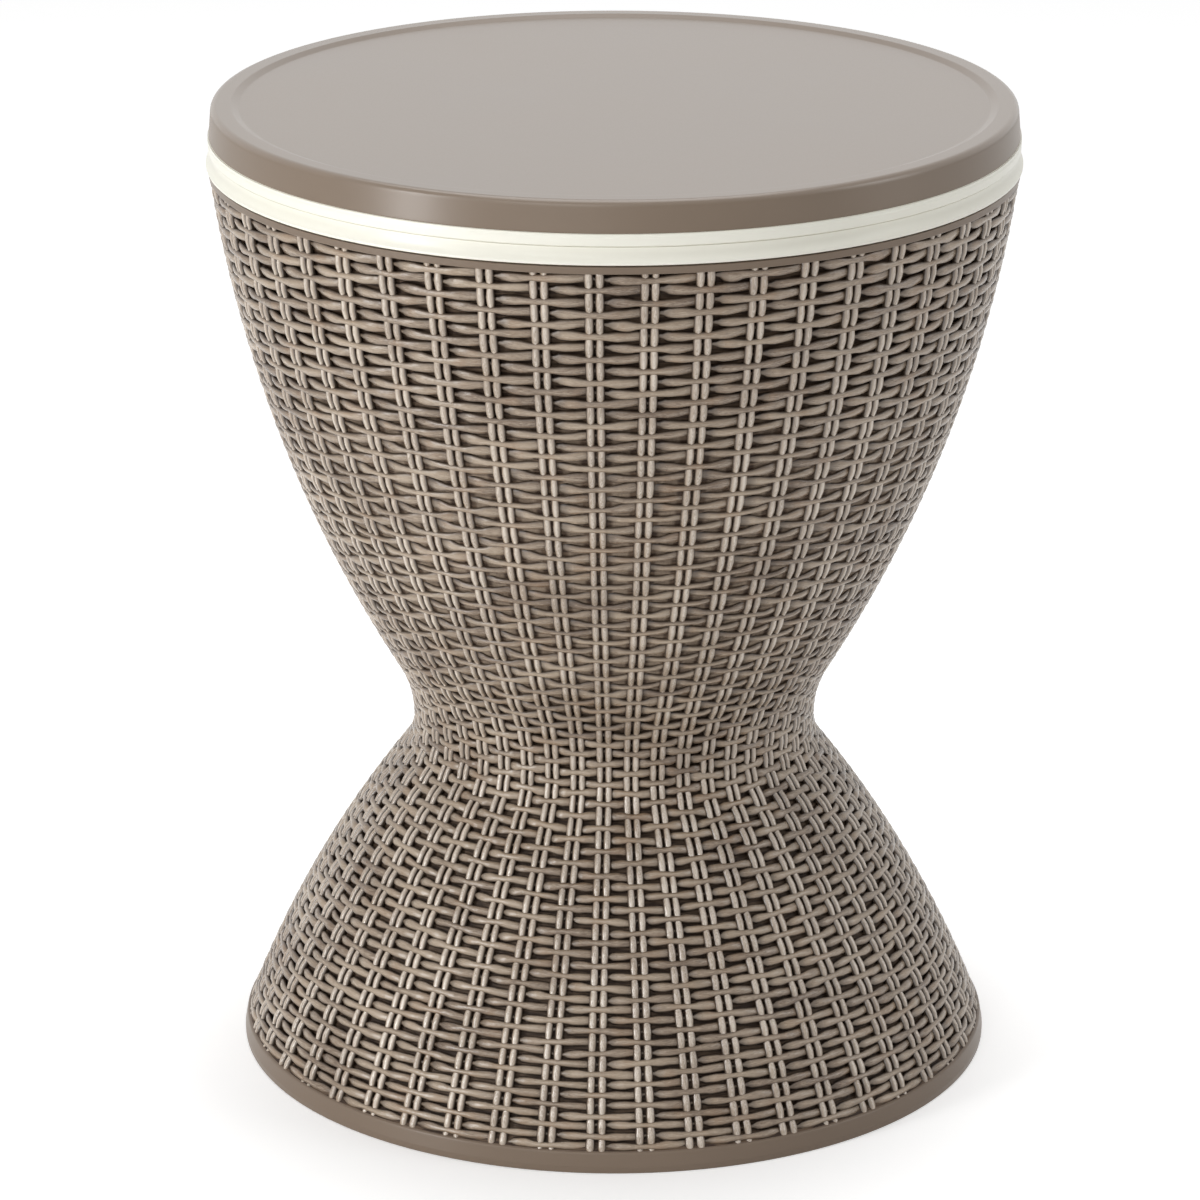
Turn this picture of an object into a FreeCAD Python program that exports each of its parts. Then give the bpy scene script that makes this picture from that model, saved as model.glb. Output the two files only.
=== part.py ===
import FreeCAD, Part
import Sketcher
import math
import os

# A side table that is also a cooler: an hourglass pedestal with a woven look carries an ice bucket,
# and the round top lifts on a centre pole and turns to lock at bar height.
# Millimetres. Z = 0 is the floor and the pole stands on the Z axis. The front faces -Y.

Vector = FreeCAD.Vector

driving = {
    # heights of the main forms
    "table_height": 590,
    "bucket_top": 564,
    "shell_top": 553.8,
    "weave_top": 548.5,
    "weave_foot": 10.6,
    "waist_height": 206,
    "bucket_floor": 247,
    "column_top": 502,
    # radii of the main forms
    "rim_radius": 241.6,
    "band_radius": 241.3,
    "waist_radius": 121.7,
    "foot_radius": 230.4,
    "weave_foot_radius": 228.8,
    "upper_bulge": 802.7,
    "upper_bulge_height": 658,
    "lower_bulge": 723.4,
    "lower_bulge_drop": 257.6,
    # moulded weave and its backing wall
    "stake_pairs": 48,
    "stake_turn": -2.7,
    "weave_depth": 3,
    "stake_rise": 2.2,
    "stake_flare": 0.6,
    "slit_half": 0.9,
    "slit_depth": 1.6,
    "pair_width_top": 11.2,
    "pair_width_waist": 8.1,
    "pair_width_foot": 12.1,
    "shell_wall": 3,
    "foot_band_wall": 3.5,
    "foot_shelf": 7.4,
    "foot_shelf_wall": 3,
    "gusset_height": 42,
    "gusset_wall": 2.5,
    "gusset_reach": 24,
    "ledge_radius": 226.8,
    "band_root_radius": 234.2,
    "joint_wall": 3.5,
    "joint_radius": 117.8,
    "joint_bore": 94,
    "joint_circle": 104.5,
    "joint_lap": 7,
    "waist_boss_radius": 5.5,
    "waist_boss_height": 16,
    # tabletop
    "skirt_radius": 240.1,
    "skirt_taper": 1.1,
    "skirt_height": 18.6,
    "skirt_rounding": 5.5,
    "rim_width": 12,
    "panel_step": 1.8,
    "step_width": 4.5,
    "lid_wall": 3,
    "lid_band_radius": 240.5,
    "lid_gap": 0.3,
    "pan_radius": 218.5,
    "pan_depth": 6,
    "lid_screw_circle": 200,
    "lid_boss_radius": 5,
    # ice bucket
    "bucket_wall": 3,
    "mouth_radius": 225,
    "bucket_floor_radius": 126,
    "mouth_depth": 11,
    "mouth_bevel": 2,
    "flange_skirt": 5.5,
    "cove_depth": 2.7,
    "rim_screw_circle": 230.5,
    "rim_boss_radius": 4.2,
    # column, sleeve and bush
    "column_bore": 28.2,
    "column_radius": 31.5,
    "column_root": 50,
    "column_root_height": 25,
    "sleeve_radius": 28,
    "sleeve_bore": 21,
    "sleeve_flange": 46,
    "sleeve_flange_wall": 3.5,
    "sleeve_screw_circle": 38,
    "ledge_height": 368.5,
    "slot_radius": 26,
    "slot_half": 6.5,
    "stop_height": 5.5,
    "bush_foot": 384,
    "bush_radius": 27.7,
    "bush_bore": 20.35,
    "bush_flange_wall": 2.9,
    "key_radius": 19.2,
    "key_half": 1.2,
    "cap_skirt": 10,
    "cap_wall": 2.5,
    # centre pole
    "pole_radius": 20,
    "pole_wall": 2.5,
    "pole_foot_height": 115,
    "lug_height": 12,
    "lug_radius": 25.6,
    "lug_half": 6,
    "groove_radius": 18.8,
    "groove_half": 1.6,
    "foot_spigot": 25,
    "foot_wall": 3.5,
    "foot_pin_radius": 2,
    "socket_depth": 30,
    "socket_flange_radius": 48,
    "socket_flange_wall": 6,
    "flange_screw_circle": 38,
    # drain
    "drain_offset": 72,
    "drain_bore": 7,
    "drain_barrel": 10,
    "drain_collar": 16,
    "drain_length": 22,
    "gasket_wall": 1.5,
    "collar_wall": 2.5,
    "nut_wall": 7,
    "plug_length": 12,
    "plug_head_radius": 12,
    "plug_head_wall": 3.2,
    "grip_half": 8,
    "grip_arch": 9,
    "grip_wall": 3,
    "plug_radius": 6.4,
    "plug_groove": 5.2,
    # screws
    "screw_shank": 1.9,
    "screw_head": 3.6,
    "screw_head_height": 2.4,
    "screw_hole": 2.2,
    "screw_pilot": 1.95,
}


# A size that keeps both its number and the words that bind it to the sheet.
class Size:
    def __init__(self, words, number):
        self.words = words
        self.number = number

    def __add__(self, other):
        return join_sizes(self, "+", other, self.number + as_size(other).number)

    def __radd__(self, other):
        return as_size(other) + self

    def __sub__(self, other):
        return join_sizes(self, "-", other, self.number - as_size(other).number)

    def __rsub__(self, other):
        return as_size(other) - self

    def __mul__(self, other):
        return join_sizes(self, "*", other, self.number * as_size(other).number)

    def __rmul__(self, other):
        return as_size(other) * self

    def __truediv__(self, other):
        return join_sizes(self, "/", other, self.number / as_size(other).number)

    def __neg__(self):
        return 0 - self


def as_size(value):
    return value if isinstance(value, Size) else Size(str(value), value)


def join_sizes(first, sign, second, number):
    return Size("(" + as_size(first).words + " " + sign + " " + as_size(second).words + ")", number)


# The other leg of a right triangle: where a flat at this offset meets a circle of this radius.
def leg(radius, offset):
    square = radius * radius - offset * offset
    return Size("sqrt" + square.words, math.sqrt(square.number))


doc = FreeCAD.newDocument("cooler_table")
sheet = doc.addObject("Spreadsheet::Sheet", "Dims")
dim = {}
for row, (alias, number) in enumerate(driving.items(), start=1):
    sheet.set("A" + str(row), alias.replace("_", " "))
    sheet.set("B" + str(row), str(number))
    sheet.setAlias("B" + str(row), alias)
    dim[alias] = Size("Dims." + alias, number)
doc.recompute()


# Bodies, sketches and features

def new_body(label):
    body = doc.addObject("PartDesign::Body", label)
    body.Label = label
    return body


def origin_feature(body, role):
    return [item for item in body.Origin.OriginFeatures if item.Role == role][0]


def new_sketch(body, name, plane, height=None):
    sketch = body.newObject("Sketcher::SketchObject", name)
    sketch.AttachmentSupport = [(origin_feature(body, plane), "")]
    sketch.MapMode = "FlatFace"
    if height is not None:
        sketch.setExpression("AttachmentOffset.Base.z", as_size(height).words)
    return sketch


# Holds one point of a sketch at x, y, measured from the sketch's origin.
def pin_point(sketch, name, edge, end, x, y):
    for letter, kind, axis, size in (("x", "DistanceX", -2, as_size(x)), ("y", "DistanceY", -1, as_size(y))):
        if size.number == 0:
            sketch.addConstraint(Sketcher.Constraint("PointOnObject", edge, end, axis))
        else:
            index = sketch.addConstraint(Sketcher.Constraint(kind, -1, 1, edge, end, size.number))
            sketch.renameConstraint(index, letter + name)
            sketch.setExpression("Constraints." + letter + name, size.words)


def bind_radius(sketch, name, edge, radius):
    index = sketch.addConstraint(Sketcher.Constraint("Radius", edge, radius.number))
    sketch.renameConstraint(index, name)
    sketch.setExpression("Constraints." + name, radius.words)


# A closed outline. A corner is (x, y), or (x, y, radius) where the edge that arrives there is an arc:
# a positive radius turns left on the way round and a negative one turns right.
def add_outline(sketch, corners):
    spots = [Vector(as_size(corner[0]).number, as_size(corner[1]).number, 0) for corner in corners]
    base = sketch.GeometryCount
    ends = []
    for index, corner in enumerate(corners):
        begin = spots[index - 1]
        finish = spots[index]
        if len(corner) == 2:
            sketch.addGeometry(Part.LineSegment(begin, finish))
            ends.append((1, 2))
            continue
        radius = as_size(corner[2])
        reach = finish - begin
        left = Vector(-reach.y, reach.x, 0).normalize()
        rise = math.sqrt(radius.number ** 2 - (reach.Length / 2) ** 2)
        centre = begin + reach * 0.5 + left * math.copysign(rise, radius.number)
        first, last = (begin, finish) if radius.number > 0 else (finish, begin)
        start_angle = math.atan2(first.y - centre.y, first.x - centre.x)
        end_angle = math.atan2(last.y - centre.y, last.x - centre.x)
        circle = Part.Circle(centre, Vector(0, 0, 1), abs(radius.number))
        sketch.addGeometry(Part.ArcOfCircle(circle, start_angle, end_angle))
        ends.append((1, 2) if radius.number > 0 else (2, 1))
    for index, corner in enumerate(corners):
        after = (index + 1) % len(corners)
        sketch.addConstraint(
            Sketcher.Constraint("Coincident", base + index, ends[index][1], base + after, ends[after][0])
        )
        pin_point(sketch, str(base + index), base + index, ends[index][1], corner[0], corner[1])
        if len(corner) == 3:
            radius = as_size(corner[2])
            positive = radius if radius.number > 0 else -radius
            bind_radius(sketch, "radius" + str(base + index), base + index, positive)


def add_circle(sketch, x, y, radius):
    spot = Vector(as_size(x).number, as_size(y).number, 0)
    index = sketch.addGeometry(Part.Circle(spot, Vector(0, 0, 1), as_size(radius).number))
    pin_point(sketch, "circle" + str(index), index, 3, x, y)
    bind_radius(sketch, "radius" + str(index), index, as_size(radius))


# A circle with two opposite slots, keys or lugs along X that end at another radius.
def add_keyed_circle(sketch, radius, key_radius, half):
    near = leg(radius, half)
    far = leg(key_radius, half)
    add_outline(sketch, [
        (far, -half),
        (far, half, key_radius),
        (near, half),
        (-near, half, radius),
        (-far, half),
        (-far, -half, key_radius),
        (-near, -half),
        (near, -half, radius),
    ])


def turn(body, name, corners):
    sketch = new_sketch(body, name + "_outline", "XZ_Plane")
    add_outline(sketch, corners)
    feature = body.newObject("PartDesign::Revolution", name)
    feature.Profile = sketch
    feature.ReferenceAxis = (sketch, ["V_Axis"])
    feature.Angle = 360
    return feature


def pad(body, name, sketch, length):
    feature = body.newObject("PartDesign::Pad", name)
    feature.Profile = sketch
    feature.setExpression("Length", as_size(length).words)
    return feature


# Cuts along +Z from a sketch on a level plane.
def pocket(body, name, sketch, length):
    feature = body.newObject("PartDesign::Pocket", name)
    feature.Profile = sketch
    feature.Reversed = True
    feature.setExpression("Length", as_size(length).words)
    return feature


def pattern(body, name, features, count):
    feature = body.newObject("PartDesign::PolarPattern", name)
    feature.Originals = features
    feature.Axis = (origin_feature(body, "Z_Axis"), [""])
    feature.Angle = 360
    feature.Occurrences = count
    body.Tip = feature
    return feature


# A ring of round bosses between two heights.
def add_bosses(body, name, circle, radius, bottom, top, count, angle=0):
    sketch = new_sketch(body, name + "_sketch", "XY_Plane", bottom)
    add_circle(sketch, circle, 0, radius)
    sketch.AttachmentOffset = FreeCAD.Placement(
        sketch.AttachmentOffset.Base, FreeCAD.Rotation(Vector(0, 0, 1), angle)
    )
    boss = pad(body, name + "_boss", sketch, as_size(top) - bottom)
    return pattern(body, name, [boss], count)


# A ring of round holes that start at a height and go up.
def add_holes(body, name, circle, radius, bottom, depth, count, angle=0):
    sketch = new_sketch(body, name + "_sketch", "XY_Plane", bottom)
    add_circle(sketch, circle, 0, radius)
    sketch.AttachmentOffset = FreeCAD.Placement(
        sketch.AttachmentOffset.Base, FreeCAD.Rotation(Vector(0, 0, 1), angle)
    )
    hole = pocket(body, name + "_hole", sketch, depth)
    return pattern(body, name, [hole], count)


# A ring of screws that point up: the underside of the head is at seat.
def make_screws(label, circle, seat, length, count, angle=0):
    body = new_body(label)
    body.AllowCompound = True
    sketch = new_sketch(body, label + "_outline", "XZ_Plane")
    add_outline(sketch, [
        (circle, seat - dim["screw_head_height"]),
        (circle + dim["screw_head"], seat - dim["screw_head_height"]),
        (circle + dim["screw_head"], seat),
        (circle + dim["screw_shank"], seat),
        (circle + dim["screw_shank"], seat + length),
        (circle, seat + length),
    ])
    axis_line = Part.LineSegment(Vector(circle.number, 0, 0), Vector(circle.number, 10, 0))
    middle = sketch.addGeometry(axis_line, True)
    sketch.addConstraint(Sketcher.Constraint("Vertical", middle))
    pin_point(sketch, "axis", middle, 1, circle, 0)
    screw = body.newObject("PartDesign::Revolution", label + "_screw")
    screw.Profile = sketch
    screw.ReferenceAxis = (sketch, ["Axis0"])
    screw.Angle = 360
    pattern(body, label + "_ring", [screw], count)
    body.Placement = FreeCAD.Placement(Vector(0, 0, 0), FreeCAD.Rotation(Vector(0, 0, 1), angle))
    return body


def fuse(label, pieces):
    whole = doc.addObject("Part::MultiFuse", label)
    whole.Label = label
    whole.Shapes = pieces
    whole.Refine = False
    return whole


# The pedestal's outline: two bulging arcs that meet in a rounded waist.
# Each half is one large arc and one small arc, tangent to it and upright at the waist.

class BulgeArc:
    def __init__(self, radius, centre_height, through_radius, through_height):
        self.radius = radius
        self.centre_height = centre_height
        self.centre = through_radius - math.sqrt(radius ** 2 - (centre_height - through_height) ** 2)
        across = driving["waist_radius"] - self.centre
        rise = abs(centre_height - driving["waist_height"])
        self.waist_bend = (across ** 2 + rise ** 2 - radius ** 2) / (2 * (radius - across))
        self.waist_reach = self.waist_bend * rise / (radius + self.waist_bend)

    def at(self, height):
        from_waist = abs(height - driving["waist_height"])
        if from_waist < self.waist_reach:
            bend = self.waist_bend
            return driving["waist_radius"] + bend - math.sqrt(bend ** 2 - from_waist ** 2)
        return self.centre + math.sqrt(self.radius ** 2 - (height - self.centre_height) ** 2)


upper_arc = BulgeArc(
    driving["upper_bulge"], driving["upper_bulge_height"], driving["band_radius"], driving["weave_top"]
)
lower_arc = BulgeArc(
    driving["lower_bulge"], -driving["lower_bulge_drop"], driving["weave_foot_radius"], driving["weave_foot"]
)


# Width of a stake pair: narrowest at the waist.
def pair_half_width(height):
    waist = driving["waist_height"]
    if height > waist:
        share = (height - waist) / (driving["weave_top"] - waist)
        end_width = driving["pair_width_top"]
    else:
        share = (waist - height) / (waist - driving["weave_foot"])
        end_width = driving["pair_width_foot"]
    return (driving["pair_width_waist"] + (end_width - driving["pair_width_waist"]) * share) / 2


def stake_directions():
    for index in range(driving["stake_pairs"]):
        angle = math.radians(index * 360 / driving["stake_pairs"] + driving["stake_turn"])
        yield Vector(math.cos(angle), math.sin(angle), 0), Vector(-math.sin(angle), math.cos(angle), 0)


# Outer section of the woven wall: each pair of stakes is two raised flats with a slit between them,
# and a straight span leads on to the next pair.
def weave_section(arc, height):
    root = arc.at(height) - driving["weave_depth"]
    crest = root + driving["stake_rise"]
    half = pair_half_width(height)
    foot = half + driving["stake_flare"]
    slit = driving["slit_half"]
    outline = [
        (root, -foot), (crest, -half), (crest, -slit), (crest - driving["slit_depth"], 0),
        (crest, slit), (crest, half), (root, foot),
    ]
    points = []
    for out, side in stake_directions():
        for radius, offset in outline:
            points.append(out * radius + side * offset + Vector(0, 0, height))
    return points


# Inner section of the woven wall: one corner behind each stake pair.
def backing_section(arc, height):
    radius = arc.at(height) - driving["weave_depth"] - driving["shell_wall"]
    return [out * radius + Vector(0, 0, height) for out, side in stake_directions()]


def skin_faces(sections):
    faces = []
    for low, high in zip(sections, sections[1:]):
        for index in range(len(low)):
            corners = [low[index - 1], low[index], high[index], high[index - 1]]
            faces.append(Part.Face(Part.makePolygon(corners + corners[:1])))
    return faces


def solid_from_sections(sections):
    ends = [Part.Face(Part.makePolygon(section + section[:1])) for section in (sections[0], sections[-1])]
    skin = Part.makeShell(skin_faces(sections) + ends)
    skin.sewShape()
    solid = Part.makeSolid(skin)
    if solid.Volume < 0:
        solid.reverse()
    return solid


# A woven wall between levels, with a straight band of facets from each level to the next.
def make_woven_wall(label, arc, levels):
    outer = solid_from_sections([weave_section(arc, height) for height in levels])
    inner = solid_from_sections([backing_section(arc, height) for height in levels])
    wall = doc.addObject("Part::Feature", label)
    wall.Shape = outer.cut(inner)
    return wall


def even_levels(first, last, count):
    return [first + (last - first) * index / count for index in range(count + 1)]


waist = driving["waist_height"]
upper_start = waist + upper_arc.waist_reach
lower_end = waist - lower_arc.waist_reach
upper_levels = [waist, (waist + upper_start) / 2] + even_levels(upper_start, driving["weave_top"], 5)
lower_levels = even_levels(driving["weave_foot"], lower_end, 4) + [(waist + lower_end) / 2, waist]
waist_screw_count = 6
gusset_count = 12
rim_screw_count = 8
sleeve_screw_count = 3
sleeve_screw_turn = 90
lid_screw_count = 8
lid_screw_turn = 22.5
flange_screw_count = 6


# Lower shell: woven wall, smooth foot band and waist flange

base_ring = new_body("base_ring")
turn(base_ring, "base_band", [
    (dim["foot_radius"] - dim["foot_band_wall"], 0),
    (dim["foot_radius"], 0),
    (dim["weave_foot_radius"] + 0.9, dim["weave_foot"] - 1.2),
    (dim["weave_foot_radius"] + 0.2, dim["weave_foot"]),
    (dim["weave_foot_radius"] - dim["foot_shelf"], dim["weave_foot"]),
    (dim["weave_foot_radius"] - dim["foot_shelf"], dim["weave_foot"] - dim["foot_shelf_wall"]),
    (dim["foot_radius"] - dim["foot_band_wall"] - 0.9, dim["weave_foot"] - dim["foot_shelf_wall"]),
])
gusset_sketch = new_sketch(base_ring, "gusset_sketch", "XZ_Plane")
gusset_top = driving["weave_foot"] + driving["gusset_height"]
band_inside = dim["foot_radius"] - dim["foot_band_wall"]
wall_middle = lower_arc.at(gusset_top) - driving["weave_depth"] - driving["shell_wall"] / 2
add_outline(gusset_sketch, [
    (band_inside - 0.4, 1.5),
    (band_inside - 0.4, dim["weave_foot"] - 2),
    (band_inside - 2.8, dim["weave_foot"]),
    (wall_middle, gusset_top),
    (wall_middle - 4, gusset_top),
    (dim["foot_radius"] - dim["gusset_reach"], 6),
    (dim["foot_radius"] - dim["gusset_reach"], 1.5),
])
gusset = pad(base_ring, "gusset", gusset_sketch, dim["gusset_wall"])
gusset.Midplane = True
pattern(base_ring, "gussets", [gusset], gusset_count)
base_ring.Placement = FreeCAD.Placement(
    Vector(0, 0, 0), FreeCAD.Rotation(Vector(0, 0, 1), driving["stake_turn"])
)

lower_flange = new_body("lower_flange")
turn(lower_flange, "lower_flange_ring", [
    (dim["joint_bore"], dim["waist_height"] - dim["joint_wall"]),
    (dim["joint_radius"], dim["waist_height"] - dim["joint_wall"]),
    (dim["joint_radius"], dim["waist_height"]),
    (dim["joint_bore"], dim["waist_height"]),
])
add_holes(
    lower_flange, "lower_flange_holes", dim["joint_circle"], dim["screw_hole"],
    dim["waist_height"] - dim["joint_wall"] - 1, dim["joint_wall"] + 2, waist_screw_count
)
lower_wall = make_woven_wall("lower_wall", lower_arc, lower_levels)
lower_shell = fuse("lower_shell", [lower_wall, base_ring, lower_flange])


# Upper shell: woven wall, smooth top band with the bucket's ledge, and waist flange with its spigot

top_band = new_body("top_band")
ledge_foot = dim["shell_top"] - dim["joint_wall"]
turn(top_band, "top_band_ring", [
    (dim["ledge_radius"], ledge_foot),
    (dim["band_root_radius"], ledge_foot),
    (dim["band_root_radius"], dim["weave_top"]),
    (dim["band_radius"], dim["weave_top"]),
    (dim["band_radius"], dim["shell_top"]),
    (dim["ledge_radius"], dim["shell_top"]),
])
add_holes(
    top_band, "ledge_holes", dim["rim_screw_circle"], dim["screw_hole"],
    dim["weave_top"], 8, rim_screw_count
)

spigot_radius = dim["joint_bore"] - dim["lid_gap"]
spigot_bore = dim["joint_bore"] - dim["shell_wall"]
upper_flange = new_body("upper_flange")
turn(upper_flange, "upper_flange_ring", [
    (spigot_bore, dim["waist_height"] - dim["joint_lap"]),
    (spigot_radius, dim["waist_height"] - dim["joint_lap"]),
    (spigot_radius, dim["waist_height"]),
    (dim["joint_radius"], dim["waist_height"]),
    (dim["joint_radius"], dim["waist_height"] + dim["joint_wall"]),
    (spigot_bore, dim["waist_height"] + dim["joint_wall"]),
])
add_bosses(
    upper_flange, "waist_bosses", dim["joint_circle"], dim["waist_boss_radius"],
    dim["waist_height"] + 1, dim["waist_height"] + dim["waist_boss_height"], waist_screw_count
)
add_holes(
    upper_flange, "waist_pilots", dim["joint_circle"], dim["screw_pilot"],
    dim["waist_height"] - 1, dim["waist_boss_height"] - 1, waist_screw_count
)
upper_wall = make_woven_wall("upper_wall", upper_arc, upper_levels)
upper_shell = fuse("upper_shell", [upper_wall, top_band, upper_flange])

waist_screws = make_screws(
    "waist_screws", dim["joint_circle"], dim["waist_height"] - dim["joint_wall"], 15, waist_screw_count
)


# Ice bucket: tapered bowl, hollow rim flange with a cove, and the centre column

floor_top = dim["bucket_floor"] + dim["bucket_wall"]
flange_foot = dim["shell_top"] + dim["lid_gap"]
cove_foot = flange_foot + 1.4
cove_top = dim["bucket_top"] - 1.4
flange_inside = dim["rim_radius"] - dim["flange_skirt"]
mouth_inside = dim["mouth_radius"] - dim["bucket_wall"]
cooler_bucket = new_body("cooler_bucket")
turn(cooler_bucket, "bowl", [
    (dim["column_bore"], dim["bucket_floor"]),
    (dim["bucket_floor_radius"], dim["bucket_floor"]),
    (dim["mouth_radius"], dim["bucket_top"] - dim["mouth_depth"]),
    (dim["mouth_radius"], dim["bucket_top"] - dim["bucket_wall"]),
    (flange_inside, dim["bucket_top"] - dim["bucket_wall"]),
    (flange_inside, flange_foot),
    (dim["rim_radius"], flange_foot),
    (dim["rim_radius"], cove_foot),
    (dim["rim_radius"] - dim["cove_depth"] * 0.8, cove_foot + (cove_top - cove_foot) * 0.42),
    (dim["rim_radius"] - dim["cove_depth"], cove_top),
    (dim["rim_radius"] - dim["cove_depth"], dim["bucket_top"]),
    (mouth_inside + dim["mouth_bevel"], dim["bucket_top"]),
    (mouth_inside, dim["bucket_top"] - dim["mouth_bevel"]),
    (mouth_inside, dim["bucket_top"] - dim["mouth_depth"]),
    (dim["bucket_floor_radius"] - dim["bucket_wall"] + 1, floor_top),
    (dim["column_root"], floor_top),
    (dim["column_radius"], floor_top + dim["column_root_height"]),
    (dim["column_radius"], dim["column_top"]),
    (dim["column_bore"], dim["column_top"]),
])
add_bosses(
    cooler_bucket, "rim_bosses", dim["rim_screw_circle"], dim["rim_boss_radius"],
    dim["shell_top"], dim["bucket_top"] - 2, rim_screw_count
)
add_holes(
    cooler_bucket, "rim_pilots", dim["rim_screw_circle"], dim["screw_pilot"],
    dim["shell_top"] - 1, 8.2, rim_screw_count
)
add_holes(
    cooler_bucket, "sleeve_pilots", dim["sleeve_screw_circle"], dim["screw_pilot"],
    dim["bucket_floor"] - 1, 12, sleeve_screw_count, sleeve_screw_turn
)
drain_hole = new_sketch(cooler_bucket, "drain_hole_sketch", "XY_Plane", dim["bucket_floor"] - 1)
add_circle(drain_hole, 0, dim["drain_offset"], dim["drain_barrel"] + 0.4)
pocket(cooler_bucket, "drain_hole", drain_hole, dim["bucket_wall"] + 2)

rim_screws = make_screws("rim_screws", dim["rim_screw_circle"], ledge_foot, 10.4, rim_screw_count)


# Slotted guide sleeve in the column: its top edge is the ledge that carries the raised pole

guide_sleeve = new_body("guide_sleeve")
sleeve_base = dim["bucket_floor"] - dim["sleeve_flange_wall"]
flange_sketch = new_sketch(guide_sleeve, "sleeve_flange_sketch", "XY_Plane", sleeve_base)
add_circle(flange_sketch, 0, 0, dim["sleeve_flange"])
pad(guide_sleeve, "sleeve_flange", flange_sketch, dim["sleeve_flange_wall"])
barrel_sketch = new_sketch(guide_sleeve, "sleeve_barrel_sketch", "XY_Plane", sleeve_base)
add_circle(barrel_sketch, 0, 0, dim["sleeve_radius"])
pad(guide_sleeve, "sleeve_barrel", barrel_sketch, dim["ledge_height"] - sleeve_base)
stop_sketch = new_sketch(guide_sleeve, "stop_sketch", "XY_Plane", dim["ledge_height"] - 1)
add_outline(stop_sketch, [(-0.5, 20.8), (3.8, 20.6), (6.2, 25.2), (-0.5, 26.3)])
stop = pad(guide_sleeve, "stop", stop_sketch, dim["stop_height"] + 1)
back_stop_sketch = new_sketch(guide_sleeve, "back_stop_sketch", "XY_Plane", dim["ledge_height"] - 1)
add_outline(back_stop_sketch, [(19.4, -10.9), (23.4, -10.9), (23.4, -7.3), (19.4, -7.3)])
back_stop = pad(guide_sleeve, "back_stop", back_stop_sketch, dim["stop_height"] + 1)
pattern(guide_sleeve, "stops", [stop, back_stop], 2)
slot_sketch = new_sketch(guide_sleeve, "slot_sketch", "XY_Plane", sleeve_base - 1)
add_keyed_circle(slot_sketch, dim["sleeve_bore"], dim["slot_radius"], dim["slot_half"])
pocket(guide_sleeve, "slotted_bore", slot_sketch, dim["ledge_height"] - sleeve_base + 12)
add_holes(
    guide_sleeve, "sleeve_holes", dim["sleeve_screw_circle"], dim["screw_hole"],
    sleeve_base - 1, 6, sleeve_screw_count, sleeve_screw_turn
)

sleeve_screws = make_screws(
    "sleeve_screws", dim["sleeve_screw_circle"], sleeve_base, 13.5, sleeve_screw_count, sleeve_screw_turn
)


# Keyed bush that turns with the pole in the top of the column, and the cap that keeps it there

turn_bush = new_body("turn_bush")
bush_flange = dim["column_top"] + dim["lid_gap"]
bush_sketch = new_sketch(turn_bush, "bush_sketch", "XY_Plane", dim["bush_foot"])
add_circle(bush_sketch, 0, 0, dim["bush_radius"])
pad(turn_bush, "bush_barrel", bush_sketch, bush_flange - dim["bush_foot"])
bush_flange_sketch = new_sketch(turn_bush, "bush_flange_sketch", "XY_Plane", bush_flange)
add_circle(bush_flange_sketch, 0, 0, dim["column_radius"] - 1)
pad(turn_bush, "bush_flange", bush_flange_sketch, dim["bush_flange_wall"])
keyway_sketch = new_sketch(turn_bush, "keyway_sketch", "XY_Plane", dim["bush_foot"] - 1)
add_keyed_circle(keyway_sketch, dim["bush_bore"], dim["key_radius"], dim["key_half"])
pocket(turn_bush, "keyed_bore", keyway_sketch, bush_flange - dim["bush_foot"] + 6)

column_cap = new_body("column_cap")
cap_ceiling = dim["column_top"] + 3.5
turn(column_cap, "cap_ring", [
    (dim["column_radius"] + 0.3, dim["column_top"] - dim["cap_skirt"]),
    (dim["column_radius"] + 3, dim["column_top"] - dim["cap_skirt"]),
    (dim["column_radius"] + 3, cap_ceiling),
    (dim["column_radius"] + 1, cap_ceiling + dim["cap_wall"]),
    (dim["pole_radius"] + 0.8, cap_ceiling + dim["cap_wall"]),
    (dim["pole_radius"] + 0.8, cap_ceiling),
    (dim["column_radius"] + 0.3, cap_ceiling),
])


# Centre pole: grooved tube, foot with bayonet lugs, cross pin and socket flange

tube_foot = dim["pole_foot_height"] + dim["lug_height"]
pan_foot = dim["bucket_top"] + 2 - dim["pan_depth"]
tube_top = pan_foot - dim["socket_flange_wall"]
pole_tube = new_body("pole_tube")
tube_sketch = new_sketch(pole_tube, "tube_sketch", "XY_Plane", tube_foot)
add_keyed_circle(tube_sketch, dim["pole_radius"], dim["groove_radius"], dim["groove_half"])
add_circle(tube_sketch, 0, 0, dim["pole_radius"] - dim["pole_wall"])
pad(pole_tube, "tube", tube_sketch, tube_top - tube_foot)
pin_height = tube_foot + 12
tube_pin_sketch = new_sketch(pole_tube, "tube_pin_sketch", "XZ_Plane")
add_circle(tube_pin_sketch, 0, pin_height, dim["foot_pin_radius"] + 0.05)
tube_pin_hole = pocket(pole_tube, "tube_pin_hole", tube_pin_sketch, 60)
tube_pin_hole.Midplane = True

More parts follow.
